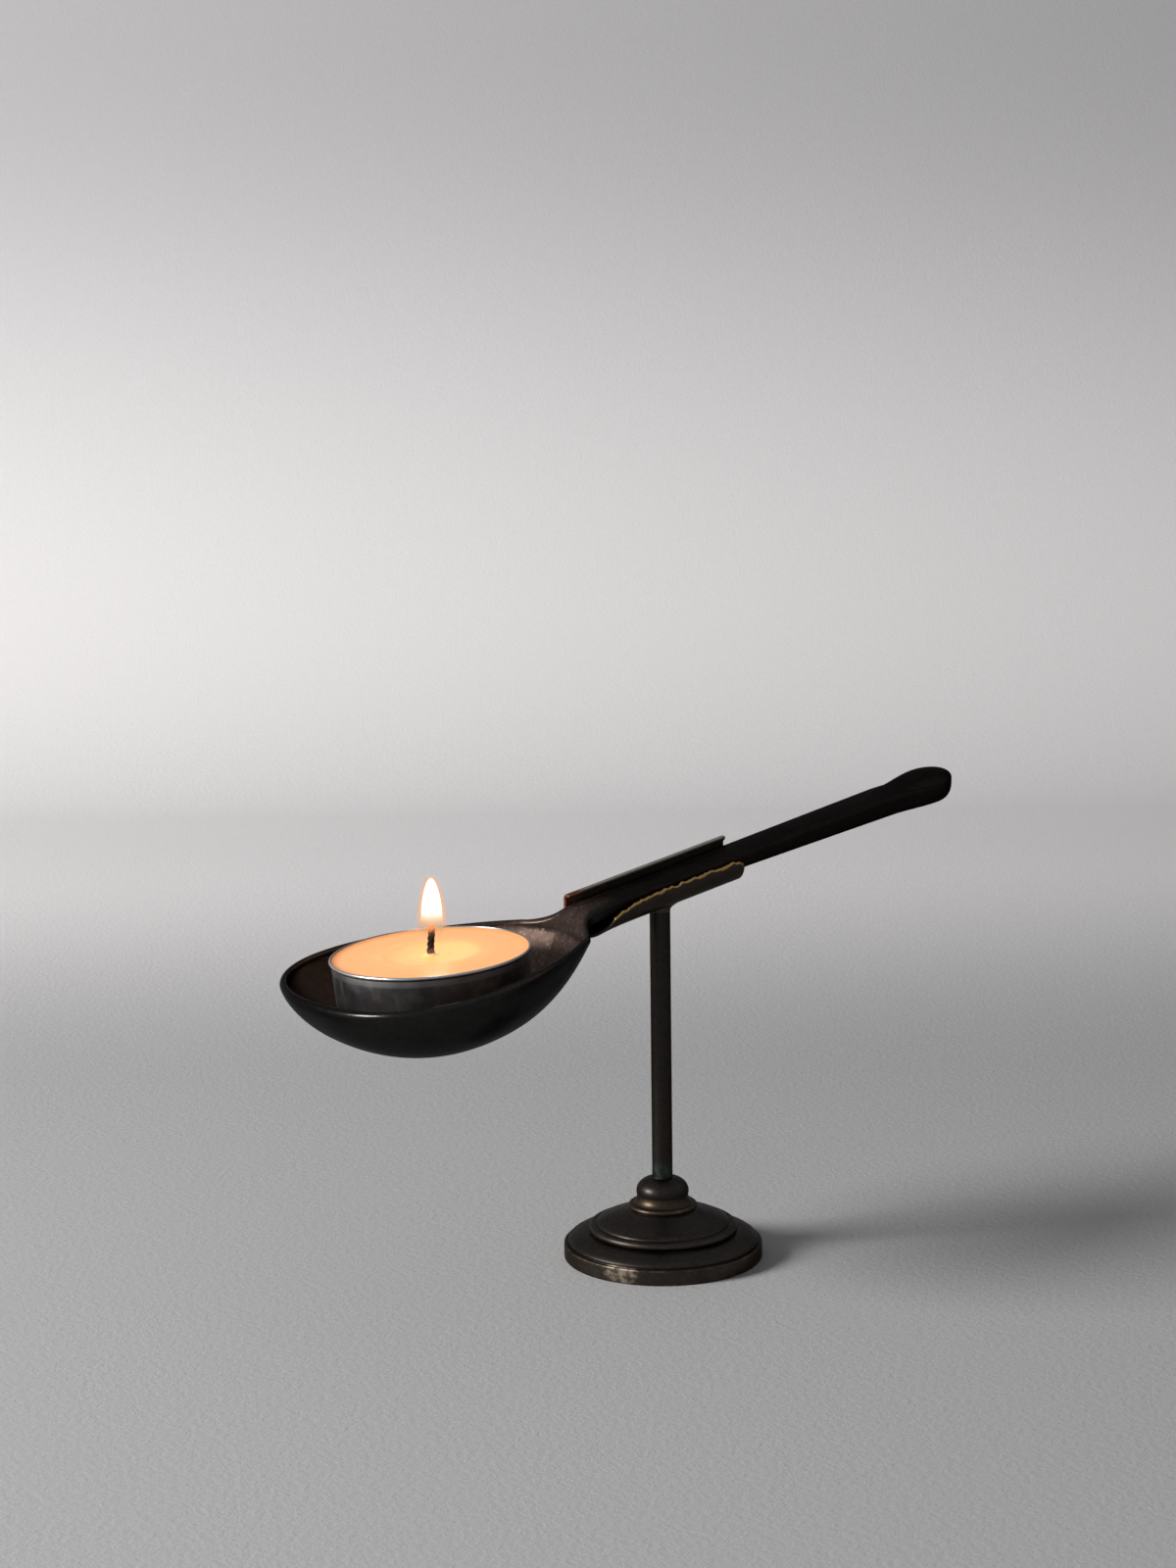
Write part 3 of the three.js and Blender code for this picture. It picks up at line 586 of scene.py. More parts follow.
def mesh_from(name, corners, faces=(), **values):
    """A mesh of those faces, or else a line through its corners, with values stored on the corners."""
    mesh = bpy.data.meshes.new(name)
    line = [] if faces else [(at, at + 1) for at in range(len(corners) - 1)]
    mesh.from_pydata(np.asarray(corners).tolist(), line, faces)
    for label, entries in values.items():
        layer = mesh.attributes.new(label, "FLOAT", "POINT")
        layer.data.foreach_set("value", np.asarray(entries, np.float32))
    return mesh


def signed_volume(mesh):
    mesh.calc_loop_triangles()
    corners = np.zeros(len(mesh.vertices) * 3)
    mesh.vertices.foreach_get("co", corners)
    corners = corners.reshape(-1, 3)
    picks = np.zeros(len(mesh.loop_triangles) * 3, int)
    mesh.loop_triangles.foreach_get("vertices", picks)
    a, b, c = (corners[picks.reshape(-1, 3)[:, side]] for side in range(3))
    return float((a * np.cross(b, c)).sum() / 6)


def tidied(mesh, sharp_angle):
    """Welds the seams, turns the faces outwards and smooths all but the sharp edges."""
    work = bmesh.new()
    work.from_mesh(mesh)
    bmesh.ops.remove_doubles(work, verts=work.verts, dist=WELD)
    bmesh.ops.dissolve_degenerate(work, edges=work.edges, dist=WELD / 4)
    loose = [vertex for vertex in work.verts if not vertex.link_faces]
    bmesh.ops.delete(work, geom=loose, context="VERTS")
    bmesh.ops.recalc_face_normals(work, faces=work.faces)
    open_edges = sum(not edge.is_manifold for edge in work.edges)
    work.to_mesh(mesh)
    work.free()
    if signed_volume(mesh) < 0:
        mesh.flip_normals()
    if open_edges:
        raise RuntimeError(f"{mesh.name} has {open_edges} edges that don't close")
    mesh.shade_smooth()
    mesh.set_sharp_from_angle(angle=sharp_angle)
    return mesh


def skinned(name, rings, material, sharp_angle, **values):
    """A body whose rings run from one end to the other."""
    count, sides = rings.shape[:2]
    ring, side = np.meshgrid(np.arange(count - 1), np.arange(sides), indexing="ij")
    here = ring * sides + side
    ahead = ring * sides + (side + 1) % sides
    faces = np.stack([here, ahead, ahead + sides, here + sides], axis=-1).reshape(-1, 4)
    mesh = tidied(mesh_from(name, rings.reshape(-1, 3), faces.tolist(), **values), sharp_angle)
    mesh.materials.append(material)
    return mesh


def picked(context, *names):
    """The groups of settings with those names."""
    return [getattr(context.scene, "candle_" + name) for name in names]


def clip_floor(post, clip, spoon):
    """Height of the clip's floor over the post's axis."""
    return post.top + post.radius * math.tan(spoon.pitch) + clip.solder_gap


def finished(name, mesh, body, nodes=()):
    """The piece of that mesh, riding on its body and standing for its nodes."""
    piece = bpy.data.objects.new(name, mesh)
    bpy.context.scene.collection.objects.link(piece)
    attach(piece, body)
    if nodes:
        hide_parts(*nodes)
    return piece


# Geometry Nodes

def turned_tree():
    """Turns a profile of radius and height about +Z, and wears its surface a little."""
    nodes, given, out = node_group(
        "Turned piece", "GeometryNodeTree",
        {"Geometry": "Geometry", "Sides": 48, "Unevenness": 0.0,
         "Patch Size": 0.006, "Seed": 1.0, "Material": "Material"},
        {"Geometry": "Geometry"})
    profile, sides = given["Geometry"], given["Sides"]
    size = nodes.add("GeometryNodeAttributeDomainSize", {"Geometry": profile}, component="MESH")
    per_row = nodes.sum("ADD", sides, 1.0)
    grid = nodes.add("GeometryNodeMeshGrid", {
        "Size X": 1.0, "Size Y": 1.0, "Vertices X": size.outputs["Point Count"], "Vertices Y": per_row})
    index = nodes.add("GeometryNodeInputIndex").outputs[0]
    row = nodes.sum("FLOOR", nodes.sum("DIVIDE", nodes.sum("ADD", index, 0.5), per_row))
    side = nodes.sum("SUBTRACT", index, nodes.times(row, per_row))
    angle = nodes.sum("DIVIDE", nodes.times(side, FULL_TURN), sides)
    spot = nodes.add("GeometryNodeSampleIndex", {
        "Geometry": profile, "Value": nodes.add("GeometryNodeInputPosition").outputs[0], "Index": row},
        data_type="FLOAT_VECTOR", domain="POINT")
    parts = nodes.parts(spot.outputs[0])
    around = nodes.turned_about(parts[0], angle, parts[2])
    named = nodes.add("GeometryNodeInputNamedAttribute", {"Name": "wear"}, data_type="FLOAT")
    wear = nodes.add("GeometryNodeSampleIndex", {
        "Geometry": profile, "Value": named.outputs[0], "Index": row}, data_type="FLOAT", domain="POINT")
    kept = nodes.add("GeometryNodeStoreNamedAttribute", {
        "Geometry": grid.outputs["Mesh"], "Name": "wear", "Value": wear.outputs[0]},
        data_type="FLOAT", domain="POINT")
    placed = nodes.add("GeometryNodeSetPosition", {"Geometry": kept.outputs[0], "Position": around})
    welded = nodes.add("GeometryNodeMergeByDistance", {"Geometry": placed.outputs[0], "Distance": WELD})
    rough = nodes.seeded_noise(given["Seed"], nodes.sum("DIVIDE", 1.0, given["Patch Size"]), 3.0)[0]
    push = nodes.times(nodes.sum("MULTIPLY_ADD", rough, 2.0, -1.0), given["Unevenness"])
    offset = nodes.scaled(nodes.add("GeometryNodeInputNormal").outputs[0], push)
    worn = nodes.add("GeometryNodeSetPosition", {"Geometry": welded.outputs[0], "Offset": offset})
    nodes.put_out(out, worn.outputs[0], given["Material"])
    return nodes.tree


WICK_ROWS, STRAND_SIDES = 140, 12


def wick_tree():
    """Twists strands round a path, spread a little where they leave the wax."""
    nodes, given, out = node_group(
        "Twisted wick", "GeometryNodeTree",
        {"Geometry": "Geometry", "Strands": 3, "Strand Radius": 0.0004,
         "Twist Radius": 0.0003, "Pitch": 0.003, "Foot": 0.01,
         "Spread": 0.4, "Fray": 0.0001, "Seed": 1.0,
         "Material": "Material"},
        {"Geometry": "Geometry"})
    path = nodes.add("GeometryNodeMeshToCurve", {"Mesh": given["Geometry"]})
    even = nodes.add("GeometryNodeResampleCurve", {"Curve": path.outputs[0], "Count": WICK_ROWS})
    copies = nodes.add("GeometryNodeDuplicateElements", {
        "Geometry": even.outputs[0], "Amount": given["Strands"]}, domain="SPLINE")
    spline = nodes.add("GeometryNodeSplineParameter").outputs
    start = nodes.sum("DIVIDE", copies.outputs["Duplicate Index"], given["Strands"])
    turns = nodes.sum("ADD", start, nodes.sum("DIVIDE", spline["Length"], given["Pitch"]))
    angle = nodes.times(turns, FULL_TURN)
    from_foot = nodes.sum("ABSOLUTE", nodes.sum("SUBTRACT", spline["Length"], given["Foot"]))
    near_foot = nodes.step(from_foot, 0.0, 0.0011, 1.0, 0.0)
    wide = nodes.sum("MULTIPLY_ADD", near_foot, given["Spread"], 1.0)
    reach = nodes.times(given["Twist Radius"], wide)
    twist = nodes.turned_about(reach, angle)
    own_seed = nodes.sum("ADD", given["Seed"], copies.outputs["Duplicate Index"])
    fuzz = nodes.seeded_noise(own_seed, 1400.0, 2.0)["Color"]
    centred = nodes.vector_sum("SUBTRACT", fuzz, (0.5, 0.5, 0.5))
    frayed = nodes.scaled(centred, given["Fray"])
    along = nodes.add("GeometryNodeStoreNamedAttribute", {
        "Geometry": copies.outputs["Geometry"], "Name": "along", "Value": spline["Factor"]},
        data_type="FLOAT", domain="POINT")
    moved = nodes.add("GeometryNodeSetPosition", {
        "Geometry": along.outputs[0], "Offset": nodes.vector_sum("ADD", twist, frayed)})
    ring = nodes.add("GeometryNodeCurvePrimitiveCircle", {
        "Resolution": STRAND_SIDES, "Radius": given["Strand Radius"]}, mode="RADIUS")
    tube = nodes.add("GeometryNodeCurveToMesh", {
        "Curve": moved.outputs[0], "Profile Curve": ring.outputs[0], "Fill Caps": True})
    nodes.put_out(out, tube.outputs[0], given["Material"])
    return nodes.tree


def grown(name, mesh, tree, inputs):
    """The plain mesh that a Geometry Nodes tree makes from a starting mesh."""
    holder = bpy.data.objects.new(name, mesh)
    bpy.context.scene.collection.objects.link(holder)
    modifier = holder.modifiers.new(name, "NODES")
    modifier.node_group = tree
    sockets = {item.name: item.identifier for item in tree.interface.items_tree
               if item.item_type == "SOCKET" and item.in_out == "INPUT"}
    for label, value in inputs.items():
        modifier[sockets[label]] = value
    holder.update_tag()
    bpy.context.view_layer.update()
    depsgraph = bpy.context.evaluated_depsgraph_get()
    made = bpy.data.meshes.new_from_object(
        holder.evaluated_get(depsgraph), preserve_all_data_layers=True, depsgraph=depsgraph)
    bpy.data.objects.remove(holder)
    if not made.polygons:
        raise RuntimeError(f"{name} came out empty")
    return made


def turned(name, points, material, sides, unevenness=0.0, patch=0.006, seed=1.0, gap=0.0004,
           sharp_angle=0.6):
    """A turned body from its profile, with the wear of its edges stored on it."""
    dense = spaced(points, gap)
    corners = np.stack([dense[:, 0], np.zeros(len(dense)), dense[:, 1]], axis=1)
    profile = mesh_from(name + "_profile", corners, wear=convexity(dense, 0.6 * MM))
    mesh = grown(name, profile, shared("Turned piece", turned_tree), {
        "Sides": sides, "Unevenness": unevenness, "Patch Size": patch, "Seed": seed, "Material": material})
    return tidied(mesh, sharp_angle)


# The foot and the post

BROKEN_CORNER = 0.12 * MM


def foot_heights(foot):
    """The height of each moulding's top."""
    names = ("band", "ovolo", "step", "dome", "ring", "neck", "knob")
    spans = (foot.band_height, foot.ovolo_height, foot.step_bead, foot.dome_rise, foot.ring_bead,
             foot.neck_height, foot.knob_height)
    return dict(zip(names, np.cumsum(spans).tolist()))


def foot_outline(foot, post):
    """From the rivet's countersink, out under the foot, up its mouldings and down the bore."""
    bore, sink = post.tenon_radius + post.tenon_clearance, post.rivet_radius + post.tenon_clearance
    groove = foot.radius - foot.groove_depth
    edge, bead, ring, rise = foot.band_edge, foot.step_bead, foot.ring_bead, foot.dome_rise
    tops = foot_heights(foot)
    band, ovolo_top, dome_foot, dome_top = tops["band"], tops["ovolo"], tops["step"], tops["dome"]
    neck_foot, knob_foot, knob_top = tops["ring"], tops["neck"], tops["knob"]
    line = Outline(sink, 0)
    line.line(foot.radius - edge, 0).curve((foot.radius, 0), (foot.radius, edge))
    line.line(foot.radius, band - edge).curve((foot.radius, band), (groove + edge / 2, band))
    line.line(groove - edge / 2, band - edge / 4).line(groove - edge / 2, band + edge / 3)
    step, dome, ring_at = foot.step_radius, foot.dome_radius, foot.ring_radius
    line.curve((groove + edge / 3, band + foot.ovolo_height / 2), (step + foot.ovolo_height, ovolo_top),
               (step, ovolo_top), steps=30)
    line.curve((step + bead / 1.5, ovolo_top), (step + bead / 2, dome_foot + bead / 4), (dome, dome_foot))
    line.curve((dome, dome_foot + rise / 3), ((dome + ring_at - rise) / 2, dome_top - rise / 3),
               (ring_at, dome_top), steps=30)
    line.curve((ring_at + ring / 2, dome_top + ring / 4), (ring_at + ring / 4, neck_foot + ring / 4),
               (ring_at - ring / 1.5, neck_foot))
    line.curve((foot.neck_radius, neck_foot + foot.neck_height / 3), (foot.neck_radius, knob_foot))
    line.curve((2 * foot.knob_radius - foot.neck_radius, knob_foot + foot.knob_height / 4),
               (foot.knob_radius, knob_top - foot.knob_height / 5), (foot.knob_land, knob_top), steps=24)
    line.line(bore, knob_top).line(bore, sink - bore).line(sink, 0)
    return softened(line.points, BROKEN_CORNER), knob_top


RUBBED_SPOT = (-17.5 * MM, -9.5 * MM, 1.8 * MM)


def foot_stains(finishes, foot):
    """Dark hollows, an amber neck, a black knob, the patch that is rubbed bare on the band, and a painted
    highlight all round the step's bead.
    """
    def stains(nodes, place):
        height = nodes.parts(place)["Z"]
        tops = foot_heights(foot)
        soft = 0.15 * MM
        groove = nodes.band(height, tops["band"] - soft, tops["band"] + 5 * soft, soft)
        fold = nodes.band(height, tops["step"] - soft, tops["step"] + 2 * soft, soft)
        crease = nodes.band(height, tops["dome"] - 2 * soft, tops["dome"] + soft, soft)
        upper = nodes.band(height, tops["band"] + 3 * soft, tops["dome"] - 2 * soft, 3 * soft)
        # Painted highlight: the bead on the step is lightened all round, standing for the lamp's light on its
        # roundness
        bead = nodes.band(height, tops["ovolo"] + 3 * soft, tops["step"] - 2 * soft, 2 * soft)
        knob = nodes.step(height, tops["neck"], tops["neck"] + 4 * soft)
        neck = nodes.band(height, tops["ring"] - 2 * soft, tops["neck"], 2 * soft)
        patch = nodes.vector_sum("DISTANCE", place, RUBBED_SPOT)
        streaks = nodes.vector_sum("MULTIPLY", place, (1.0, 1.0, 4.0))
        reach = nodes.sum("MULTIPLY_ADD", nodes.noise(streaks, 300.0, 5.0, 0.7), 9 * MM, patch)
        under_edge = nodes.step(height, tops["band"], tops["band"] + 2 * soft, 1.0, 0.0)
        blotchy = nodes.step(nodes.noise(place, 620.0, 5.0, 0.7), 0.40, 0.58, 0.12, 1.0)
        rubbed = nodes.times(nodes.step(reach, 5.4 * MM, 8.4 * MM, 0.85, 0.0), under_edge, blotchy)
        dark = finishes.foot_dark
        return [(nodes.times(upper, 0.85), dark), (nodes.times(bead, 0.14), finishes.rubbed_edge),
                (groove, dark), (nodes.times(fold, 0.35), dark), (nodes.times(crease, 0.6), dark),
                (knob, dark), (nodes.times(neck, 0.6), finishes.amber), (rubbed, finishes.worn_brass)]
    return stains


class CANDLE_OT_foot(bpy.types.Operator):
    """Turns the foot, with its band, groove, mouldings and knob"""
    bl_idname = "candle_stand.foot"
    bl_label = "Foot"

    def execute(self, context):
        foot, post, finishes = picked(context, "foot", "post", "finishes")
        points, _ = foot_outline(foot, post)
        material = metal("Foot patina", finishes.foot_dark, finishes.foot_metal, finishes.rubbed_edge,
                         scale=150.0, contrast=0.26, wear=0.03, turned=True, coat=0.12, glancing=0.35,
                         rough=(0.38, 0.54), stains=foot_stains(finishes, foot))
        mesh = turned("foot", points, material, foot.sides, foot.dents, 0.004, 3.0)
        finished("foot", mesh, "stand", ["base"])
        return {"FINISHED"}


SOLDER_SIDES, SOLDER_ROWS = 72, 12


def solder_rings(post, clip, spoon):
    """The solder between the post's flat top and the clip's round underside, longest towards the
    handle's end."""
    floor, slope = clip_floor(post, clip, spoon), math.tan(spoon.pitch)
    around = np.linspace(0, FULL_TURN, SOLDER_SIDES, endpoint=False)
    heading = np.stack([np.cos(around), np.sin(around)], axis=1)
    run = np.clip(heading[:, 0], 0, 1) ** 3
    reach = post.radius + 0.12 * MM + (post.solder_reach - post.radius) * run
    start = np.full(SOLDER_SIDES, post.top - 0.4 * MM)
    rings = [np.column_stack([heading * 0.0, start]),
             np.column_stack([heading * (post.radius - 0.1 * MM), start])]
    low = post.top - 0.12 * MM
    for share in np.linspace(0, 1, SOLDER_ROWS):
        radius = post.radius + 0.02 * MM + (reach - post.radius) * share ** 1.9
        flat = heading * radius[:, None]
        saddle = clip.radius - np.sqrt(clip.radius ** 2 - flat[:, 1] ** 2)
        under_clip = floor + flat[:, 0] * slope + saddle + 0.06 * MM
        rings.append(np.column_stack([flat, low + (under_clip - low) * share ** 0.62]))
    last = rings[-1].copy()
    last[:, :2] *= 0.7
    last[:, 2] = floor + last[:, 0] * slope + 0.3 * MM
    centre = np.tile([0, 0, floor + 0.35 * MM], (SOLDER_SIDES, 1))
    return np.array(rings + [last, centre])


class CANDLE_OT_post(bpy.types.Operator):
    """Turns the post with its riveted tenon, and runs solder between it and the clip"""
    bl_idname = "candle_stand.post"
    bl_label = "Post and solder"

    def execute(self, context):
        foot, post, clip, spoon, finishes = picked(context, "foot", "post", "clip", "spoon", "finishes")
        _, knob_top = foot_outline(foot, post)
        line = Outline(0, 0)
        line.line(post.rivet_radius, 0).line(post.tenon_radius, post.rivet_radius - post.tenon_radius)
        line.line(post.tenon_radius, knob_top).line(post.radius, knob_top)
        line.line(post.radius, post.top).line(0, post.top)

        def stains(nodes, place):
            parts = nodes.parts(place)
            low = nodes.step(parts["Z"], knob_top + 0.4 * MM, knob_top + 5 * MM, 1.0, 0.0)
            cloudy = nodes.step(nodes.noise(place, 500.0), 0.35, 0.6)
            return [(nodes.times(low, cloudy), finishes.verdigris)]

        material = metal("Post patina", finishes.foot_dark, finishes.post_metal, finishes.worn_brass,
                         scale=190.0, contrast=0.3, wear=0.1, coat=0.1, rough=(0.4, 0.54), stains=stains,
                         glancing=0.3)
        mesh = turned("rod", softened(line.points, BROKEN_CORNER), material, post.sides, post.waviness,
                      0.009, 5.0, gap=0.0009)
        finished("rod", mesh, "stand", ["post"])
        material = metal("Solder", finishes.foot_dark, finishes.clip_metal, finishes.worn_brass,
                         scale=300.0, wear=0.0, rough=(0.38, 0.5))
        fillet = skinned("solder_fillet", solder_rings(post, clip, spoon), material, 1.0)
        finished("solder_fillet", fillet, "stand")
        return {"FINISHED"}


# The clip

WANDER_PICKS = 4096
SADDLE_STEPS, FOLD_STEPS = 120, 40
ACROSS_STEPS, ALONG_STEPS = 110, 170
EDGE_STEPS, END_STEPS = 9, 7
END_ROUND = 0.28 * MM
COARSE_PITCH, FINE_PITCH = 0.9 * MM, 0.37 * MM
COARSE_SEED, FINE_SEED, BARE_SEED = 11, 12, 13


def wander(values, pitch, seed):
    """Smooth random numbers between -1 and 1 along a line."""
    picks = np.random.default_rng(seed).uniform(-1, 1, WANDER_PICKS)
    at = values / pitch
    low = np.floor(at).astype(int)
    share = at - low
    share = share * share * (3 - 2 * share)
    return picks[low % WANDER_PICKS] * (1 - share) + picks[(low + 1) % WANDER_PICKS] * share


def clip_section(clip):
    """Points of the sheet's middle and the directions square to them, from the near edge under the
    handle to the far lip's edge, with the distance from the near edge."""
    middle = clip.radius - clip.sheet / 2
    turns = np.linspace(-clip.near_edge, math.pi / 2, SADDLE_STEPS)
    out = np.stack([np.sin(turns), -np.cos(turns)], axis=1)
    at = out * middle
    bend = clip.lip_bend - clip.sheet / 2
    turns = math.pi / 2 + np.linspace(0, clip.lip_fold, FOLD_STEPS)
    bend_out = np.stack([np.sin(turns), -np.cos(turns)], axis=1)
    bend_at = np.array([middle - bend, clip.far_rise]) + bend_out * bend
    lip = bend_at[-1] + np.array([-bend_out[-1, 1], bend_out[-1, 0]]) * clip.lip_width
    at = np.concatenate([at, bend_at, [lip]])
    out = np.concatenate([out, bend_out, [bend_out[-1]]])
    far = np.concatenate([[0], np.cumsum(np.linalg.norm(np.diff(at, axis=0), axis=1))])
    return at, out, far


def corner_cut(radius, distance):
    """How far a round corner cuts a side back at a distance from the next side."""
    reach = np.maximum(0, radius - distance)
    return radius - np.sqrt(radius ** 2 - reach ** 2)


def clip_skin(clip, spoon, floor):
    """The clip's rings from its left end to its right one, and where its cut edges are bare."""
    at, out, far = clip_section(clip)
    girth, half, soft = far[-1], clip.sheet / 2, clip.broken_edge
    bends = np.linspace(0, math.pi / 2, EDGE_STEPS)
    near = soft * (1 - np.sin(bends[::-1]))
    inner = np.linspace(soft, girth - soft, ACROSS_STEPS)[1:-1]
    places = np.concatenate([near, inner, girth - soft * (1 - np.sin(bends))])
    thick = np.concatenate([np.cos(bends[::-1]), np.ones(len(inner)), np.cos(bends)])
    from_near = np.concatenate([places, places[-2:0:-1]])
    offset = half * np.concatenate([thick, -thick[-2:0:-1]])
    middle = np.stack([np.interp(from_near, far, at[:, axis]) for axis in (0, 1)], axis=1)
    square = np.stack([np.interp(from_near, far, out[:, axis]) for axis in (0, 1)], axis=1)
    square /= np.linalg.norm(square, axis=1)[:, None]
    share = from_near / girth
    rounded = corner_cut(clip.corner_round, from_near) + corner_cut(clip.lip_corner, girth - from_near)
    trimmed = clip.corner_trim * np.maximum(0, 1 - from_near / clip.radius)
    left = -clip.left + clip.left_skew * np.maximum(0, 1 - share / clip.left_square) + trimmed
    right = clip.right - clip.right_skew * (1 - np.minimum(1, share / clip.right_square)) - rounded
    lip_wear = np.where(offset > 0, 0.2, 0.9)
    low_end = np.clip(1 - from_near / (4.2 * MM), 0, 1)
    at_lip = np.clip((from_near - girth + 0.2 * MM) / (0.1 * MM), 0, 1) * lip_wear
    at_fold = eased(share, 0.72, 0.86)
    insets = END_ROUND * (1 - np.sin(np.linspace(math.pi / 2, 0, END_STEPS)))
    steps = [(0.0, inset) for inset in insets]
    steps += [(part, 0.0) for part in np.linspace(0.012, 0.988, ALONG_STEPS)]
    steps += [(1.0, -inset) for inset in insets[::-1]]
    slope, tall = math.tan(spoon.pitch), 1 / math.cos(spoon.pitch)
    rings, bare = [], []
    for part, inset in steps:
        x = left + (right - left) * part + inset
        thin = 1.0
        if part in (0.0, 1.0):
            thin = math.sqrt(max(0, 1 - (1 - abs(inset) / END_ROUND) ** 2))
        reach = np.clip((clip.dip_length - clip.left - x) / clip.dip_length, 0, 1)
        drop = clip.dip * reach ** 2 * np.maximum(0, 1 - from_near / clip.radius)
        ragged = (wander(x + 1, COARSE_PITCH, COARSE_SEED) * 0.6
                  + wander(x + 1, FINE_PITCH, FINE_SEED) * 0.4)
        ragged *= clip.raggedness * np.maximum(0, 1 - from_near / (1.3 * MM))
        skin_offset = offset * thin
        nose = corner_cut(clip.lip_nose, clip.right - x) * at_fold
        lift = clip.radius + middle[:, 1] - drop + square[:, 1] * skin_offset + ragged - nose
        across = middle[:, 0] + square[:, 0] * skin_offset
        rings.append(np.stack([x, across, floor + x * slope + lift * tall], axis=1))
        width = 0.36 * MM + 0.16 * MM * wander(x + 2, COARSE_PITCH, BARE_SEED)
        outer_edge = np.clip((width - from_near) / (0.08 * MM), 0, 1)
        ends = 0.0
        if inset or part in (0.0, 1.0):
            ends = low_end * (0.35 if part == 0.0 else 0.95)
        elif part > 0.97:
            ends = low_end * np.clip((part - 0.975) * 80, 0, 1) * 0.9
        bare.append(np.maximum(np.maximum(outer_edge, at_lip), ends))
    return np.array(rings), np.array(bare)


class CANDLE_OT_clip(bpy.types.Operator):
    """Bends the saddle clip from sheet, with its ragged bare edge and its lip over the handle"""
    bl_idname = "candle_stand.clip"
    bl_label = "Saddle clip"

    def execute(self, context):
        clip, spoon, post, finishes = picked(context, "clip", "spoon", "post", "finishes")

        def stains(nodes, place):
            parts = nodes.parts(place)
            left = nodes.step(parts["X"], -17.5 * MM, -14.5 * MM, 1.0, 0.0)
            high = nodes.step(parts["Z"], 71 * MM, 73 * MM)
            # Painted highlight: where the folded lip's top faces up it is painted pale grey, for the light it
            # mirrors
            upward = nodes.step(nodes.facing_up(), 0.5, 0.9)
            on_lip = nodes.step(parts["Y"], 3.0 * MM, 3.8 * MM)
            return [(nodes.times(upward, on_lip, 0.95), finishes.lip_grey),
                    (nodes.times(left, high), finishes.clip_red)]

        dull = tuple(value * 0.6 for value in finishes.clip_metal)
        material = metal("Clip patina", dull, finishes.clip_metal, finishes.cut_brass, scale=230.0,
                         contrast=0.3, wear=0.62, edge="bare", coat=0.1, coat_roughness=0.26,
                         rough=(0.36, 0.5), stains=stains, glancing=0.35)
        rings, bare = clip_skin(clip, spoon, clip_floor(post, clip, spoon))
        mesh = skinned("saddle_clip", rings, material, 0.8, bare=bare.ravel())
        finished("saddle_clip", mesh, "stand", ["clip"])
        return {"FINISHED"}


# The spoon

def bezier(points, count):
    """A cubic Bezier curve as rows of points."""
    share = np.linspace(0, 1, count)[:, None]
    rest = 1 - share
    a, b, c, d = (np.array(point, float) for point in points)
    return a * rest ** 3 + 3 * b * share * rest ** 2 + 3 * c * share ** 2 * rest + d * share ** 3


def round_share(share, form):
    """The share of the full depth at a share of the way to where it ends."""
    fullness, rounding = form
    return np.maximum(0, 1 - share ** fullness) ** rounding


HEEL_FORM = (2.4, 0.8)
BOWL_FORM = (2.85, 0.75)
HANDLE_FORM = (9, 0.5)
HANDLE_END_FORM = (2.6, 0.5)
HANDLE_END_UNDERSIDE = (7, 0.5)


def blended(first, second, share):
    """A form part of the way from one form to another."""
    return tuple(a + (b - a) * share for a, b in zip(first, second))


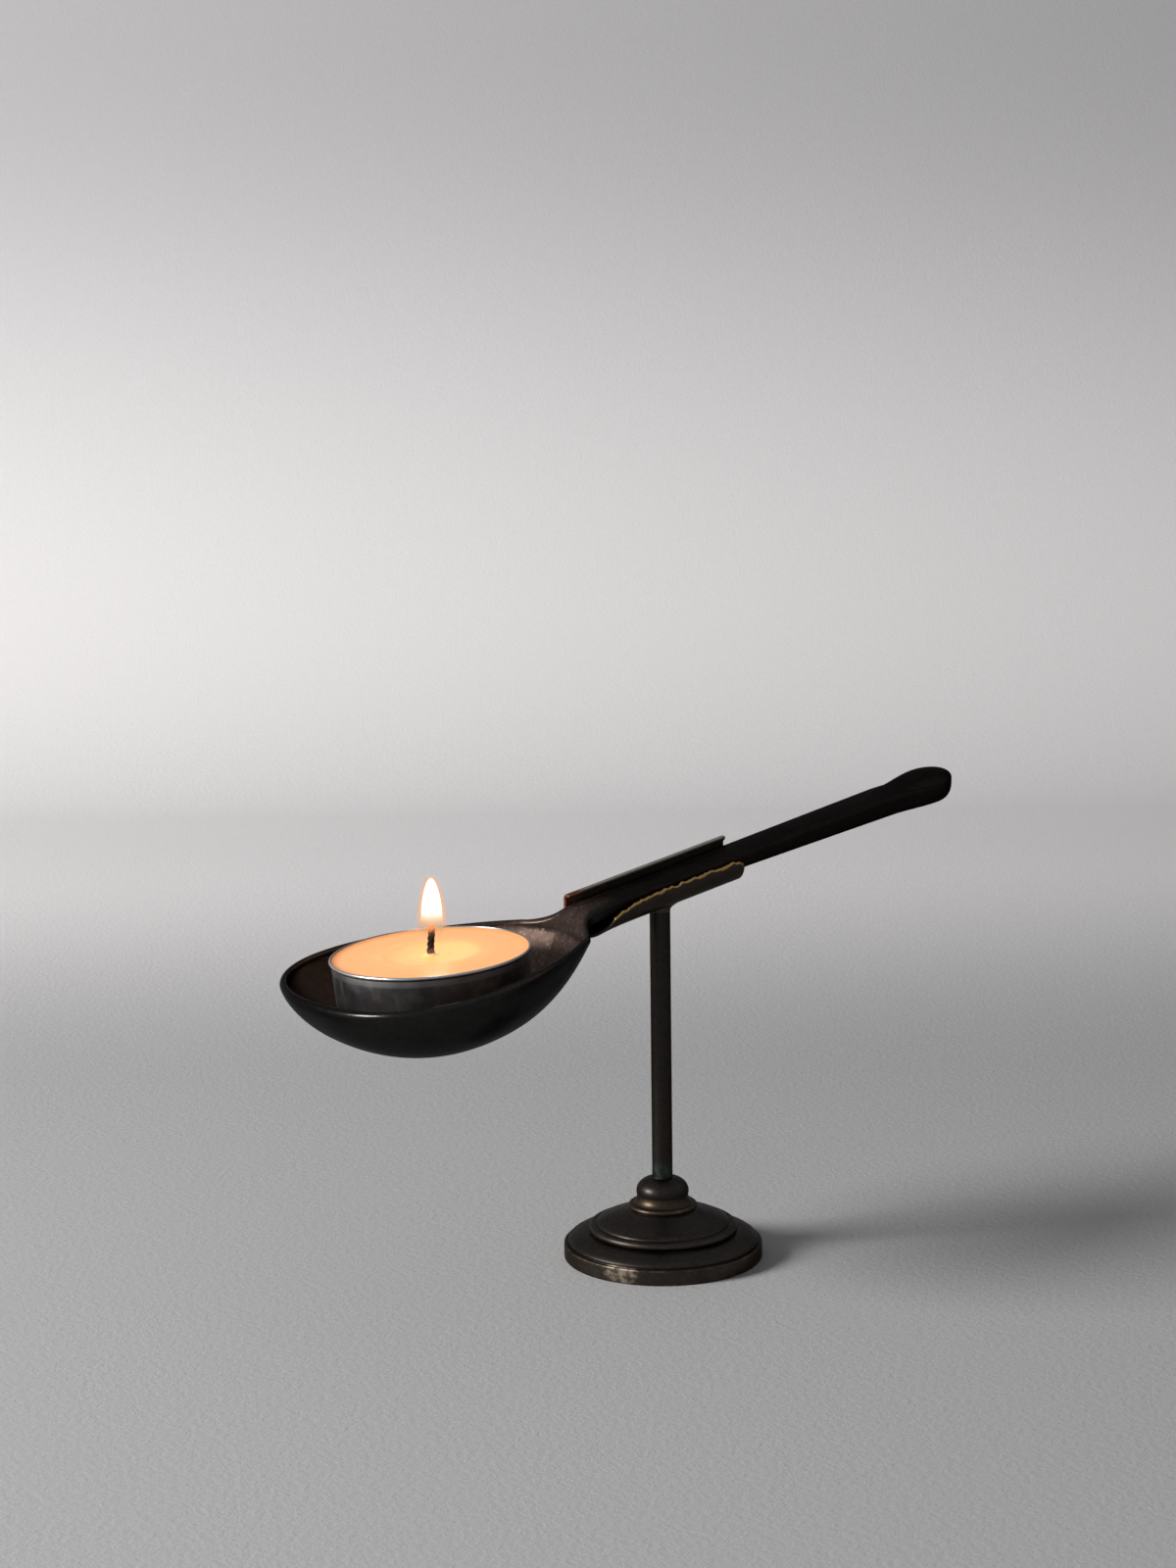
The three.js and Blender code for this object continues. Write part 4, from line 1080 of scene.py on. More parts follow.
class SpoonForm:
    """The lines that the spoon's skin is drawn from."""

    def __init__(self, spoon, clip, handle_top):
        self.sizes = spoon
        self.slope = math.tan(spoon.pitch)
        self.rim_slope = math.tan(spoon.rim_pitch)
        self.handle_top = handle_top
        self.neck_end = np.array([-spoon.neck_end, handle_top - spoon.neck_end * self.slope])
        self.shoulder = self.neck_end - np.array([spoon.neck_run, spoon.neck_drop])
        self.tip = self.shoulder - np.array([spoon.bowl_length, spoon.bowl_length * self.rim_slope])
        self.end_radius = spoon.end_width / 2
        self.end_centre = spoon.reach - self.end_radius
        self.heel = self.shoulder[0] + spoon.overhang
        self.bar_start = clip.right

    def flare(self, x):
        return eased(x, self.end_centre - self.sizes.flare, self.end_centre)

    def top_line(self, x):
        size, tip, shoulder = self.sizes, self.tip, self.shoulder
        share = np.clip((x - tip[0]) / size.bowl_length, 0, 1)
        rim = tip[1] + (x - tip[0]) * self.rim_slope + 4 * size.rim_arch * share * (1 - share)
        share = np.clip((x - shoulder[0]) / size.neck_run, 0, 1)
        start = (self.rim_slope - 4 * size.rim_arch / size.bowl_length) * size.neck_run
        end = self.slope * size.neck_run
        square, cube = share ** 2, share ** 3
        neck = (shoulder[1] * (2 * cube - 3 * square + 1) + start * (cube - 2 * square + share)
                + self.neck_end[1] * (3 * square - 2 * cube) + end * (cube - square))
        bar = self.handle_top + x * self.slope + size.end_lift * self.flare(x)
        return np.where(x < shoulder[0], rim, np.where(x < self.neck_end[0], neck, bar))

    def edge_line(self, x):
        """The edge lies lower than the top where the round end is domed."""
        return self.top_line(x) - self.sizes.end_dome * self.flare(x)

    def outline(self):
        """Half the outline in plan, from the tip to the handle's end."""
        size, tip, shoulder = self.sizes, self.tip, self.shoulder
        half, widest = size.bowl_width / 2, tip[0] + size.widest
        turns = np.linspace(0, math.pi / 2, 57)[:-1]
        power = 2 / size.tip_fullness
        front = np.stack([widest - size.widest * np.cos(turns) ** power,
                          half * np.sin(turns) ** power], axis=1)
        run, bar = shoulder[0] - widest, size.width / 2
        flank = bezier([(widest, half), (widest + run * size.flank_start, half),
                        (shoulder[0] - run * size.flank_end, size.shoulder + half * size.flank_spread),
                        (shoulder[0], size.shoulder)], 52)
        pull = shoulder[0] + size.neck_run * size.neck_pull
        neck = bezier([(shoulder[0], size.shoulder), (pull, (size.shoulder + bar) / 2), (pull, bar),
                       (self.neck_end[0], bar)], 28)[1:]
        x = np.linspace(self.neck_end[0], self.end_centre, 61)[1:]
        grown_width = bar + size.growth / 2 * np.maximum(0, x / self.end_centre)
        handle = np.stack([x, grown_width + (self.end_radius - grown_width) * self.flare(x)], axis=1)
        turns = np.linspace(0, math.pi / 2, 25)[1:]
        end = np.stack([self.end_centre + self.end_radius * np.sin(turns),
                        self.end_radius * np.cos(turns)], axis=1)
        return np.concatenate([front, flank, neck, handle, end])

    def spine(self, x):
        """Where on the spine the rib of an outline point ends."""
        def ramp(distance, softness):
            return (distance + np.hypot(distance, softness)) / 2
        deepest = self.tip[0] + self.sizes.deepest
        from_bowl = deepest + ramp(x - deepest, self.sizes.widest / 2)
        return self.end_centre - ramp(self.end_centre - from_bowl, MM)

    def spine_depth(self, x, bowl, handle, end):
        start = self.tip[0] + self.sizes.deepest
        share = np.clip((x - start) / (end - start), 0, 1)
        return handle + (bowl - handle) * round_share(share, HEEL_FORM)

    def thickness(self, x):
        size = self.sizes
        share = np.clip((x - self.bar_start) / (size.reach - self.bar_start), 0, 1)
        return size.thickness + (size.end_thickness - size.thickness) * share + size.end_swell * self.flare(x)


UNDER_ROWS, RIM_ROWS = 44, 14
WORN_RIM = 40


def spoon_skin(form):
    """The spoon's rings, each once round it, from the top's spine over the edge to the underside's,
    with how far each point is on the inside and on the edge."""
    size, half = form.sizes, form.sizes.edge / 2
    outline = form.outline()
    padded = np.concatenate([[outline[1] * (1, -1)], outline, [outline[-2] * (1, -1)]])
    along = padded[2:] - padded[:-2]
    along /= np.linalg.norm(along, axis=1)[:, None]
    inward = np.stack([along[:, 1], -along[:, 0]], axis=1)
    edge, pull = (np.concatenate([rows, rows[-2:0:-1]]) for rows in (outline, inward))
    side = np.concatenate([np.ones(len(outline)), -np.ones(len(outline) - 2)])
    target = form.spine(edge[:, 0])
    is_open = 1 - eased(target, form.shoulder[0], form.neck_end[0])

    def place(inset, share):
        x = target + (edge[:, 0] + pull[:, 0] * inset - target) * share
        return x, side * share * np.maximum(0, edge[:, 1] + pull[:, 1] * inset)

    flare = form.flare(target)
    dome = size.end_dome * flare
    held_rim = 1 - eased(edge[:, 0], form.shoulder[0] - 4 * MM, form.shoulder[0])
    rings, inside, rim = [], [], []
    levels = np.concatenate([np.arange(UNDER_ROWS) / UNDER_ROWS, 1 + np.arange(RIM_ROWS) / RIM_ROWS,
                             2 + np.arange(UNDER_ROWS + 1) / UNDER_ROWS])
    for level in levels[::-1]:
        if level <= 1:
            share = math.sin(level * math.pi / 2)
            x, y = place(0, share)
            bar = form.thickness(target) - dome - half
            depth = form.spine_depth(target, size.depth - half, bar, form.heel)
            rounded = blended(blended(HANDLE_FORM, BOWL_FORM, is_open), HANDLE_END_UNDERSIDE, flare)
            z = form.edge_line(x) - half - depth * round_share(share, rounded)
            held = (0.0, max(0, 1 - (1 - share) * WORN_RIM))
        elif level <= 2:
            bend = (level - 1) * math.pi
            x, y = place(half * (1 - math.cos(bend)) * (1 - flare), 1)
            flat = np.sin(bend) if bend < math.pi / 2 else 1 + (math.sin(bend) - 1) * is_open
            z = form.edge_line(x) - half + half * flat
            held = (eased(level, 1.35, 1.8), 1.0)
        else:
            share = max(0, math.cos((level - 2) * math.pi / 2))
            x, y = place(size.edge * (1 - flare), share)
            depth = form.spine_depth(target, size.depth - half - size.wall, -size.crown - dome,
                                     form.heel - size.wall)
            rounded = blended(BOWL_FORM, HANDLE_END_FORM, flare)
            z = form.edge_line(x) - half * is_open - depth * round_share(share, rounded)
            held = (1.0, max(0, 1 - (1 - share) * WORN_RIM))
        rings.append(np.stack([x, y, z], axis=1))
        inside.append(np.full(len(x), held[0]))
        rim.append(held[1] * held_rim)
    return np.array(rings), np.array(inside), np.array(rim)


def spoon_material(finishes):
    """Black outside, brown inside the bowl, paler and speckled on the neck, black on the handle, which is
    partly its own patina and partly painted shade from the clip.
    """
    # The handle's black is partly painted shade, standing for the shadow that the clip casts on the handle
    def handle_mask(nodes, place):
        along = nodes.parts(place)["X"]
        cloudy = nodes.noise(place, 120.0, 5.0, 0.6)
        drift = nodes.shifted(along, cloudy, 9 * MM)
        return drift, nodes.step(drift, -22.0 * MM, -10.0 * MM)

    def stains(nodes, place):
        drift, handle = handle_mask(nodes, place)
        inside = nodes.attribute("inside")
        heel = nodes.times(inside, nodes.step(drift, -44 * MM, -33 * MM))
        neck = nodes.times(inside, nodes.step(drift, -35 * MM, -27 * MM))
        specks = nodes.step(nodes.noise(place, 1500.0, 3.0, 0.7), 0.56, 0.7)
        speckled = nodes.times(specks, neck, 0.4)
        return [(inside, finishes.bowl_dark), (heel, finishes.bowl_brown), (neck, finishes.neck_brown),
                (speckled, finishes.worn_brass), (handle, finishes.handle_black)]

    def lacquer(nodes):
        _, handle = handle_mask(nodes, object_place(nodes))
        return nodes.step(handle, 0.0, 1.0, 0.12, 0.03)

    return metal("Spoon patina", finishes.bowl_black, finishes.bowl_black, finishes.bowl_brown, scale=90.0,
                 contrast=0.3, wear=0.0, edge="rim", coat=lacquer, coat_roughness=0.26, rough=(0.42, 0.56),
                 grain=0.00003, stains=stains, dust=0.02, glancing=0.22, polished=0.6)


class CANDLE_OT_spoon(bpy.types.Operator):
    """Forms the spoon: deep bowl with a rolled rim, neck, and bar handle with a round end"""
    bl_idname = "candle_stand.spoon"
    bl_label = "Spoon"

    def execute(self, context):
        clip, spoon, post, finishes = picked(context, "clip", "spoon", "post", "finishes")
        floor = clip_floor(post, clip, spoon)
        form = SpoonForm(spoon, clip, floor + spoon.seat / math.cos(spoon.pitch))
        rings, inside, rim = spoon_skin(form)
        mesh = skinned("spoon_body", rings, spoon_material(finishes), 0.9, inside=inside.ravel(),
                       rim=rim.ravel())
        finished("spoon_body", mesh, "stand", ["spoon"])
        return {"FINISHED"}


# The tealight

def cup_outline(light, steps):
    rim = light.radius - light.roll
    foot = rim - light.taper
    inner, foot_inner, bend = rim - light.foil, foot - light.foil, light.foot_round
    roll_foot = light.height - 2 * light.roll
    line = Outline(0, 0)
    line.line(foot - bend, 0).curve((foot, 0), (foot, bend), steps=steps)
    line.line(rim, roll_foot)
    line.curve((light.radius, roll_foot), (light.radius, roll_foot + light.roll), steps=steps)
    line.curve((light.radius, light.height), (rim, light.height), steps=steps)
    line.line(inner, roll_foot + light.roll).line(foot_inner, bend)
    line.curve((foot_inner, light.wall), (foot_inner - bend + light.wall, light.wall), steps=steps)
    line.line(0, light.wall)
    return line.points


def tealight_frame(light):
    """The tealight's own axes: its foot's centre on the CAD cup, leaning with the bowl."""
    _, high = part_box("candle_cup")
    points = np.array(cup_outline(light, 3))
    cosine, sine = math.cos(light.pitch), math.sin(light.pitch)
    x = high.x - (points[:, 0] * cosine - points[:, 1] * sine).max()
    z = high.z - (points[:, 0] * sine + points[:, 1] * cosine).max()
    return Matrix.Translation((x, 0, z)) @ Matrix.Rotation(-light.pitch, 4, "Y")


def tealight_place(nodes, light):
    """Coordinates along the tealight's own axes."""
    frame_of = tealight_frame(light)
    mapping = nodes.add("ShaderNodeMapping", {
        "Vector": object_place(nodes), "Location": frame_of.to_translation(),
        "Rotation": frame_of.to_euler()}, vector_type="TEXTURE")
    return mapping.outputs[0]


CUP_SIDES = 160
HIGHLIGHT_SIDE = (-0.8, -0.6, 0.0)
SCRATCH_SPOT = (-18.3 * MM, 1.8 * MM, 3.4 * MM)


def cup_material(finishes, light):
    """Thin drawn aluminium with faint upright drawing marks, pale clouds and a scratch. A painted shadow runs
    as a dark line under the rolled rim, and a painted highlight pales the band under that and the rim on one
    side."""
    made, nodes, shader = new_material("Cup aluminium")
    place = tealight_place(nodes, light)
    parts = nodes.parts(place)
    flat = nodes.joined(parts["X"], parts["Y"], nodes.times(parts["Z"], 0.05))
    drawn = nodes.noise(flat, 700.0, 4.0, 0.6)
    rim_foot = light.height - 2 * light.roll
    dull = tuple(value * 0.93 for value in finishes.aluminium)
    tone = nodes.tint(nodes.step(drawn, 0.35, 0.65), dull, finishes.aluminium)
    clouds = nodes.step(nodes.noise(place, 190.0, 4.0, 0.6), 0.4, 0.65, 0.0, 0.3)
    # Painted highlight: the band under the rim and the rim itself are paled on the side where the lamp's
    # light is mirrored
    band = nodes.band(parts["Z"], rim_foot - 1.3 * MM, rim_foot - 0.15 * MM, 0.25 * MM)
    highlight_side = nodes.vector_sum("DOT_PRODUCT", place, HIGHLIGHT_SIDE)
    band_highlight = nodes.times(band, nodes.step(highlight_side, -4 * MM, 14 * MM, 0.0, 0.35))
    rim = nodes.step(parts["Z"], rim_foot, rim_foot + 0.2 * MM)
    rim_highlight = nodes.tint(nodes.step(highlight_side, 4 * MM, 16 * MM, 0.0, 0.35), finishes.aluminium,
                          finishes.cup_band)
    squashed = nodes.vector_sum("MULTIPLY", place, (1.0, 1.0, 0.4))
    scratch = nodes.sum("MULTIPLY_ADD", nodes.noise(place, 1800.0), 0.8 * MM,
                        nodes.vector_sum("DISTANCE", squashed, SCRATCH_SPOT))
    # Painted shadow: a dark line under the rolled rim, where the rim shades the cup
    line = nodes.band(parts["Z"], rim_foot - 0.14 * MM, rim_foot + 0.08 * MM, 0.06 * MM)
    tone = nodes.layered(tone, [
        (clouds, finishes.cup_band), (band_highlight, finishes.cup_band), (rim, rim_highlight),
        (nodes.step(scratch, 0.7 * MM, 1.3 * MM, 0.5, 0.0), finishes.cup_band),
        (nodes.times(line, 0.8), finishes.foot_dark)])
    nodes.fill(shader, {"Base Color": tone, "Metallic": 1.0,
                        "Roughness": nodes.step(drawn, 0.3, 0.7, 0.3, 0.34)})
    nodes.bump(shader, 0.4, 0.00002, drawn)
    return made


class CANDLE_OT_cup(bpy.types.Operator):
    """Draws the tealight's thin cup with its rolled rim"""
    bl_idname = "candle_stand.cup"
    bl_label = "Tealight cup"

    def execute(self, context):
        light, finishes = picked(context, "tealight", "finishes")
        mesh = turned("tealight_cup", cup_outline(light, 12), cup_material(finishes, light), CUP_SIDES,
                      0.02 * MM, 0.003, 7.0, gap=0.0005, sharp_angle=1.2)
        mesh.transform(tealight_frame(light))
        finished("tealight_cup", mesh, "tealight", ["candle_cup"])
        return {"FINISHED"}


def wax_outline(light):
    """The wax, with its pool, round the wick and over the sustainer, and the height of its top."""
    rim_foot = light.radius - light.roll - light.taper
    bottom = light.wall + light.gap
    wall = rim_foot - light.foil - light.seam
    top = light.height - light.below_rim
    pool, pool_top = light.pool_radius, top - light.pool_depth
    tab_top = bottom + light.tab_thickness + light.gap
    collar_top = bottom + light.collar_height + light.gap
    rim = wall + top * light.taper / light.height
    hole = light.wick_radius + light.gap
    collar = hole + light.collar_wall + light.gap
    tab = light.tab_radius + light.gap
    line = Outline(tab, bottom)
    line.line(wall - light.foot_round, bottom)
    line.curve((wall, bottom), (wall, bottom + light.foot_round), steps=8)
    line.line(rim, top + 0.2 * MM).line(rim - 0.04 * MM, top + 0.22 * MM)
    line.curve((rim - 0.4 * MM, top + 0.06 * MM), (rim - 1.4 * MM, top), steps=8)
    line.line(pool + 0.5 * MM, top)
    line.curve((pool - 0.3 * MM, top), (pool - 1.2 * MM, top - light.pool_depth / 2),
               (pool / 2, pool_top), steps=16)
    line.line(hole + 1.1 * MM, pool_top)
    line.curve((hole + 0.1 * MM, pool_top), (hole - 0.22 * MM, top + 0.05 * MM), steps=8)
    line.line(hole - 0.22 * MM, top - 1 * MM).line(hole, top - 1.2 * MM)
    line.line(hole, collar_top).line(collar, collar_top).line(collar, tab_top).line(tab, tab_top)
    line.line(tab, bottom)
    return line.points, top


SOOT_SPECKS = ((-12.2, -6.4, 0.17), (-6.0, -10.6, 0.2), (7.4, 5.2, 0.13), (-2.8, 8.8, 0.12))
SOOT = (0.16, 0.09, 0.03)


def wax_material(finishes, light):
    """Wax with a painted glow for the flame's light in it: peach by the rim, yellower towards the wick,
    yellow and wet where it has melted, with a few soot specks.
    """
    made, nodes, shader = new_material("Wax")
    place = tealight_place(nodes, light)
    parts = nodes.parts(place)
    reach = nodes.vector_sum("LENGTH", nodes.joined(parts["X"], parts["Y"]))
    drift = nodes.shifted(reach, nodes.noise(place, 160.0, 5.0, 0.6), 5 * MM)
    # Painted glow: the wax turns yellower towards the wick, standing for the flame's light
    near = nodes.step(drift, 2 * MM, 14 * MM, 1.0, 0.0)
    melted = nodes.step(drift, light.pool_radius - 2.5 * MM, light.pool_radius + 0.5 * MM, 1.0, 0.0)
    _, top = wax_outline(light)
    soot = 0.0
    for x, y, size in SOOT_SPECKS:
        away = nodes.vector_sum("DISTANCE", place, (x * MM, y * MM, top))
        ragged = nodes.sum("MULTIPLY_ADD", nodes.noise(place, 5000.0), 0.2 * MM, away)
        soot = nodes.sum("MAXIMUM", soot, nodes.step(ragged, size * MM, (size + 0.2) * MM, 1.0, 0.0))
    tone = nodes.layered(nodes.tint(near, finishes.wax_rim, finishes.wax_pool), [
        (nodes.times(melted, 0.35), finishes.wax_pool),
        (nodes.step(reach, 16.6 * MM, 18.4 * MM, 0.0, 0.6), finishes.wax_edge),
        (nodes.times(soot, 0.7), SOOT)])
    # Painted glow: the wax gives off light in its own colour, standing for the flame's light in it
    nodes.fill(shader, {
        "Base Color": tone, "Emission Color": tone, "Emission Strength": 0.30,
        "Specular IOR Level": 0.12, "Subsurface Weight": 0.25, "Subsurface Scale": 1.0,
        "Subsurface Radius": (0.004, 0.0022, 0.001),
        "Roughness": nodes.step(melted, 0.0, 1.0, 0.42, 0.3)})
    ripple = nodes.times(nodes.noise(place, 420.0, 4.0, 0.55), nodes.step(melted, 0.0, 1.0, 1.0, 0.15))
    nodes.bump(shader, 0.5, 0.0002, ripple)
    return made


class CANDLE_OT_wax(bpy.types.Operator):
    """Pours the wax, with the shallow pool that the flame has melted"""
    bl_idname = "candle_stand.wax"
    bl_label = "Wax"

    def execute(self, context):
        light, finishes = picked(context, "tealight", "finishes")
        points, _ = wax_outline(light)
        mesh = turned("tealight_wax", points, wax_material(finishes, light), CUP_SIDES, 0.02 * MM,
                      0.004, 9.0, gap=0.0005, sharp_angle=0.9)
        mesh.transform(tealight_frame(light))
        finished("tealight_wax", mesh, "tealight", ["wax"])
        return {"FINISHED"}


ASH = (0.06, 0.036, 0.024)


def wick_material(finishes, waxed):
    """Burnt cotton that still glows at its tip, with a painted faint red glow just over the wax for the wax's
    light on it. waxed is the share of it that stands in the wax."""
    made, nodes, shader = new_material("Burnt cotton")
    place = object_place(nodes)
    along = nodes.attribute("along")
    ash = nodes.step(nodes.noise(place, 2600.0, 4.0, 0.7), 0.5, 0.75)
    tone = nodes.tint(nodes.times(ash, 0.3), finishes.char, ASH)
    ragged = nodes.sum("MULTIPLY_ADD", nodes.noise(place, 2200.0), 0.06, along)
    hot = nodes.step(ragged, 0.935, 1.0)
    # Painted glow: the wick shines faint red just over the wax, standing for the light from the wax
    lit = nodes.step(along, waxed, waxed + 0.09, 1.0, 0.0)
    warm = nodes.tint(lit, (0.0, 0.0, 0.0), finishes.clip_red)
    nodes.fill(shader, {
        "Base Color": tone, "Roughness": nodes.step(ash, 0.0, 1.0, 0.7, 0.95), "Specular IOR Level": 0.1,
        "Emission Color": nodes.tint(hot, warm, finishes.ember), "Emission Strength": 1.1})
    nodes.bump(shader, 0.8, 0.0001, nodes.noise(place, 5200.0, 3.0, 0.6))
    return made


def tin_material(finishes):
    """Tin plate with faint crystals, for the sustainer under the wax."""
    made, nodes, shader = new_material("Tin plate")
    place = object_place(nodes)
    cells = nodes.add("ShaderNodeTexVoronoi", {"Vector": place, "Scale": 700.0}).outputs["Distance"]
    dull = tuple(value * 0.7 for value in finishes.tin)
    nodes.fill(shader, {
        "Base Color": nodes.tint(nodes.step(cells, 0.1, 0.7), finishes.tin, dull), "Metallic": 1.0,
        "Roughness": nodes.step(nodes.noise(place, 600.0), 0.3, 0.7, 0.25, 0.45)})
    return made


class CANDLE_OT_wick(bpy.types.Operator):
    """Twists the wick's strands, and finishes the tin sustainer that holds it"""
    bl_idname = "candle_stand.wick"
    bl_label = "Wick"

    def execute(self, context):
        light, finishes = picked(context, "tealight", "finishes")
        foot = light.wall + light.gap
        _, surface = wax_outline(light)
        tip = surface + light.wick_above - 0.12 * MM
        heights = np.linspace(foot, tip, 60)
        bent = eased(heights, surface - light.wick_above / 4, tip + light.wick_above / 2)
        path = np.stack([light.wick_lean * bent * 1.4, 0 * heights, heights], axis=1)
        mesh = grown("wick_strands", mesh_from("wick_path", path), shared("Twisted wick", wick_tree), {
            "Strands": light.strands, "Strand Radius": light.strand_radius,
            "Twist Radius": light.wick_radius - light.strand_radius - 0.05 * MM, "Pitch": light.strand_pitch,
            "Foot": surface - foot, "Spread": 0.3, "Fray": 0.12 * MM, "Seed": 4.0,
            "Material": wick_material(finishes, (surface - foot) / (tip - foot))})
        mesh = tidied(mesh, 1.0)
        mesh.transform(tealight_frame(light))
        wick = finished("wick_strands", mesh, "tealight", ["wick"])
        wick.visible_shadow = False
        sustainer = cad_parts["wick_sustainer"]
        sustainer.data.materials.clear()
        sustainer.data.materials.append(tin_material(finishes))
        return {"FINISHED"}


# The flame

FLAME_SIDES = 64


def flame_outline(flame, foot, grow):
    """A drop shape that starts below the wick's tip and ends in a soft point."""
    radius, low = flame.radius + grow, foot - grow * 0.4
    high = foot + flame.height + grow * 0.8
    tall = high - low
    line = Outline(0, low)
    line.curve((radius * 0.7, low), (radius, low + tall * 0.08), (radius, low + tall * 0.27), steps=20)
    line.curve((radius, low + tall * 0.62), (radius * 0.5, high), (0, high), steps=40)
    return line.points


def flame_material(name, white, foot_tone, alpha, strength, mirrored, low, high):
    """Light that comes up from nothing at the flame's foot, between two heights. A flame is far brighter
    than white, which shows where metal mirrors it."""
    made, nodes, shader = new_material(name)
    place = object_place(nodes)
    drift = nodes.shifted(nodes.parts(place)["Z"], nodes.noise(place, 500.0, 2.0, 0.5), 0.5 * MM)
    rise = nodes.step(drift, low, high)
    glossy = nodes.add("ShaderNodeLightPath").outputs["Is Glossy Ray"]
    power = nodes.times(nodes.sum("MULTIPLY_ADD", glossy, mirrored, 1.0),
                        nodes.step(drift, low, high, 0.5, 1.0))
    nodes.fill(shader, {
        "Base Color": (0.0, 0.0, 0.0, 1.0), "Roughness": 1.0, "Specular IOR Level": 0.0,
        "Emission Color": nodes.scaled(nodes.tint(rise, foot_tone, white), power),
        "Emission Strength": strength,
        "Alpha": nodes.times(nodes.step(drift, low - 0.4 * MM, high), alpha)})
    return made


class CANDLE_OT_flame(bpy.types.Operator):
    """Shapes the flame: a white core in an orange edge and a faint glow"""
    bl_idname = "candle_stand.flame"
    bl_label = "Flame"

    def execute(self, context):
        light, flame, finishes = picked(context, "tealight", "flame", "finishes")
        _, surface = wax_outline(light)
        centre = tealight_frame(light) @ Vector((light.wick_lean, 0, surface + light.wick_above))
        foot = centre.z - flame.foot
        white, yellow, orange = finishes.flame_white, finishes.flame_yellow, finishes.flame_orange
        layers = (("flame_core", 0.0, white, yellow, 1.0, flame.strength, 1.2, 6.0),
                  ("flame_mantle", flame.mantle, orange, orange, 0.42, 1.0, 0.2, 3.6),
                  ("flame_halo", flame.halo, orange, orange, 0.12, 1.0, -0.6, 3.0))
        for name, grow, body_tone, foot_tone, alpha, strength, low, high in layers:
            material = flame_material(name, body_tone, foot_tone, alpha, strength, flame.mirrored,
                                      foot + low * MM, foot + high * MM)
            mesh = turned(name, flame_outline(flame, foot, grow), material, FLAME_SIDES, sharp_angle=3.0)
            mesh.transform(Matrix.Translation((centre.x + 0.1 * MM, 0, 0)))
            piece = finished(name, mesh, "tealight")
            piece.visible_shadow = False
        return {"FINISHED"}


# The stage

VIEW_HEADING = Vector((0.5736, 0.8192, 0.0))
VIEW_RIGHT = Vector((0.8192, -0.5736, 0.0))
CAMERA_AT = Vector((-0.31665, -0.42806, 0.17539))
CAMERA_DOWN = math.radians(8.496)
CAMERA_ROLL = math.radians(0.767)
SENSOR_WIDTH = 36.0
FRONT_END, WALL, WALL_TOP, BEND, HALF_WIDTH = -2.6, 0.78, 0.42, 0.22, 2.2
LAMP_COLOUR = (1.0, 0.985, 0.965)
SKY_COLOUR = (0.96, 0.98, 1.0, 1.0)


def stage_material(settings):
    """Matt plaster: a mid grey floor that grows paler into the backdrop, with painted shade darkening the
    backdrop higher up.
    """
    made, nodes, shader = new_material("Stage plaster")
    place = object_place(nodes)
    away = nodes.vector_sum("DOT_PRODUCT", place, tuple(VIEW_HEADING))
    height = nodes.parts(place)["Z"]
    # Painted shade: the backdrop darkens higher up, standing for the lamp's light falling off
    tone = nodes.layered(settings.floor, [(nodes.step(away, 0.14, 0.44), settings.wall),
                                          (nodes.step(height, 0.02, 0.34), settings.wall_top)])
    nodes.fill(shader, {"Base Color": tone, "Roughness": 0.9, "Specular IOR Level": 0.15})
    nodes.bump(shader, 0.35, 0.0006, nodes.noise(place, 700.0, 6.0, 0.7))
    return made


def sweep_mesh():
    """Floor and wall in one sheet, with a wide round between them."""
    turns = np.linspace(0, math.pi / 2, 25)
    line = [(FRONT_END, 0.0), (-0.8, 0.0), (0.0, 0.0), (WALL - BEND, 0.0)]
    line += [(WALL - BEND + BEND * math.sin(turn), BEND - BEND * math.cos(turn)) for turn in turns[1:]]
    line += [(WALL, WALL_TOP)]
    across = np.linspace(-HALF_WIDTH, HALF_WIDTH, 12)
    corners = [VIEW_HEADING * away + VIEW_RIGHT * side + Vector((0, 0, height))
               for away, height in line for side in across]
    width = len(across)
    faces = [(row * width + at, row * width + at + 1, (row + 1) * width + at + 1, (row + 1) * width + at)
             for row in range(len(line) - 1) for at in range(width - 1)]
    mesh = mesh_from("sweep", corners, faces)
    mesh.shade_smooth()
    return mesh


def sky(settings):
    """Even light from all round, paler where it is seen, also in a mirror or through glass."""
    world = bpy.data.worlds.new("Soft room")
    bpy.context.scene.world = world
    world.use_nodes = True
    world.node_tree.nodes.clear()
    nodes = Nodes(world.node_tree)
    rays = nodes.add("ShaderNodeLightPath").outputs
    seen = nodes.sum("MAXIMUM", rays["Is Camera Ray"], rays["Is Transmission Ray"])
    seen = nodes.sum("MAXIMUM", seen, rays["Is Glossy Ray"])
    strength = nodes.sum("MULTIPLY_ADD", seen, settings.pale, settings.sky)
    background = nodes.add("ShaderNodeBackground", {"Color": SKY_COLOUR, "Strength": strength})
    nodes.add("ShaderNodeOutputWorld", {"Surface": background.outputs[0]})


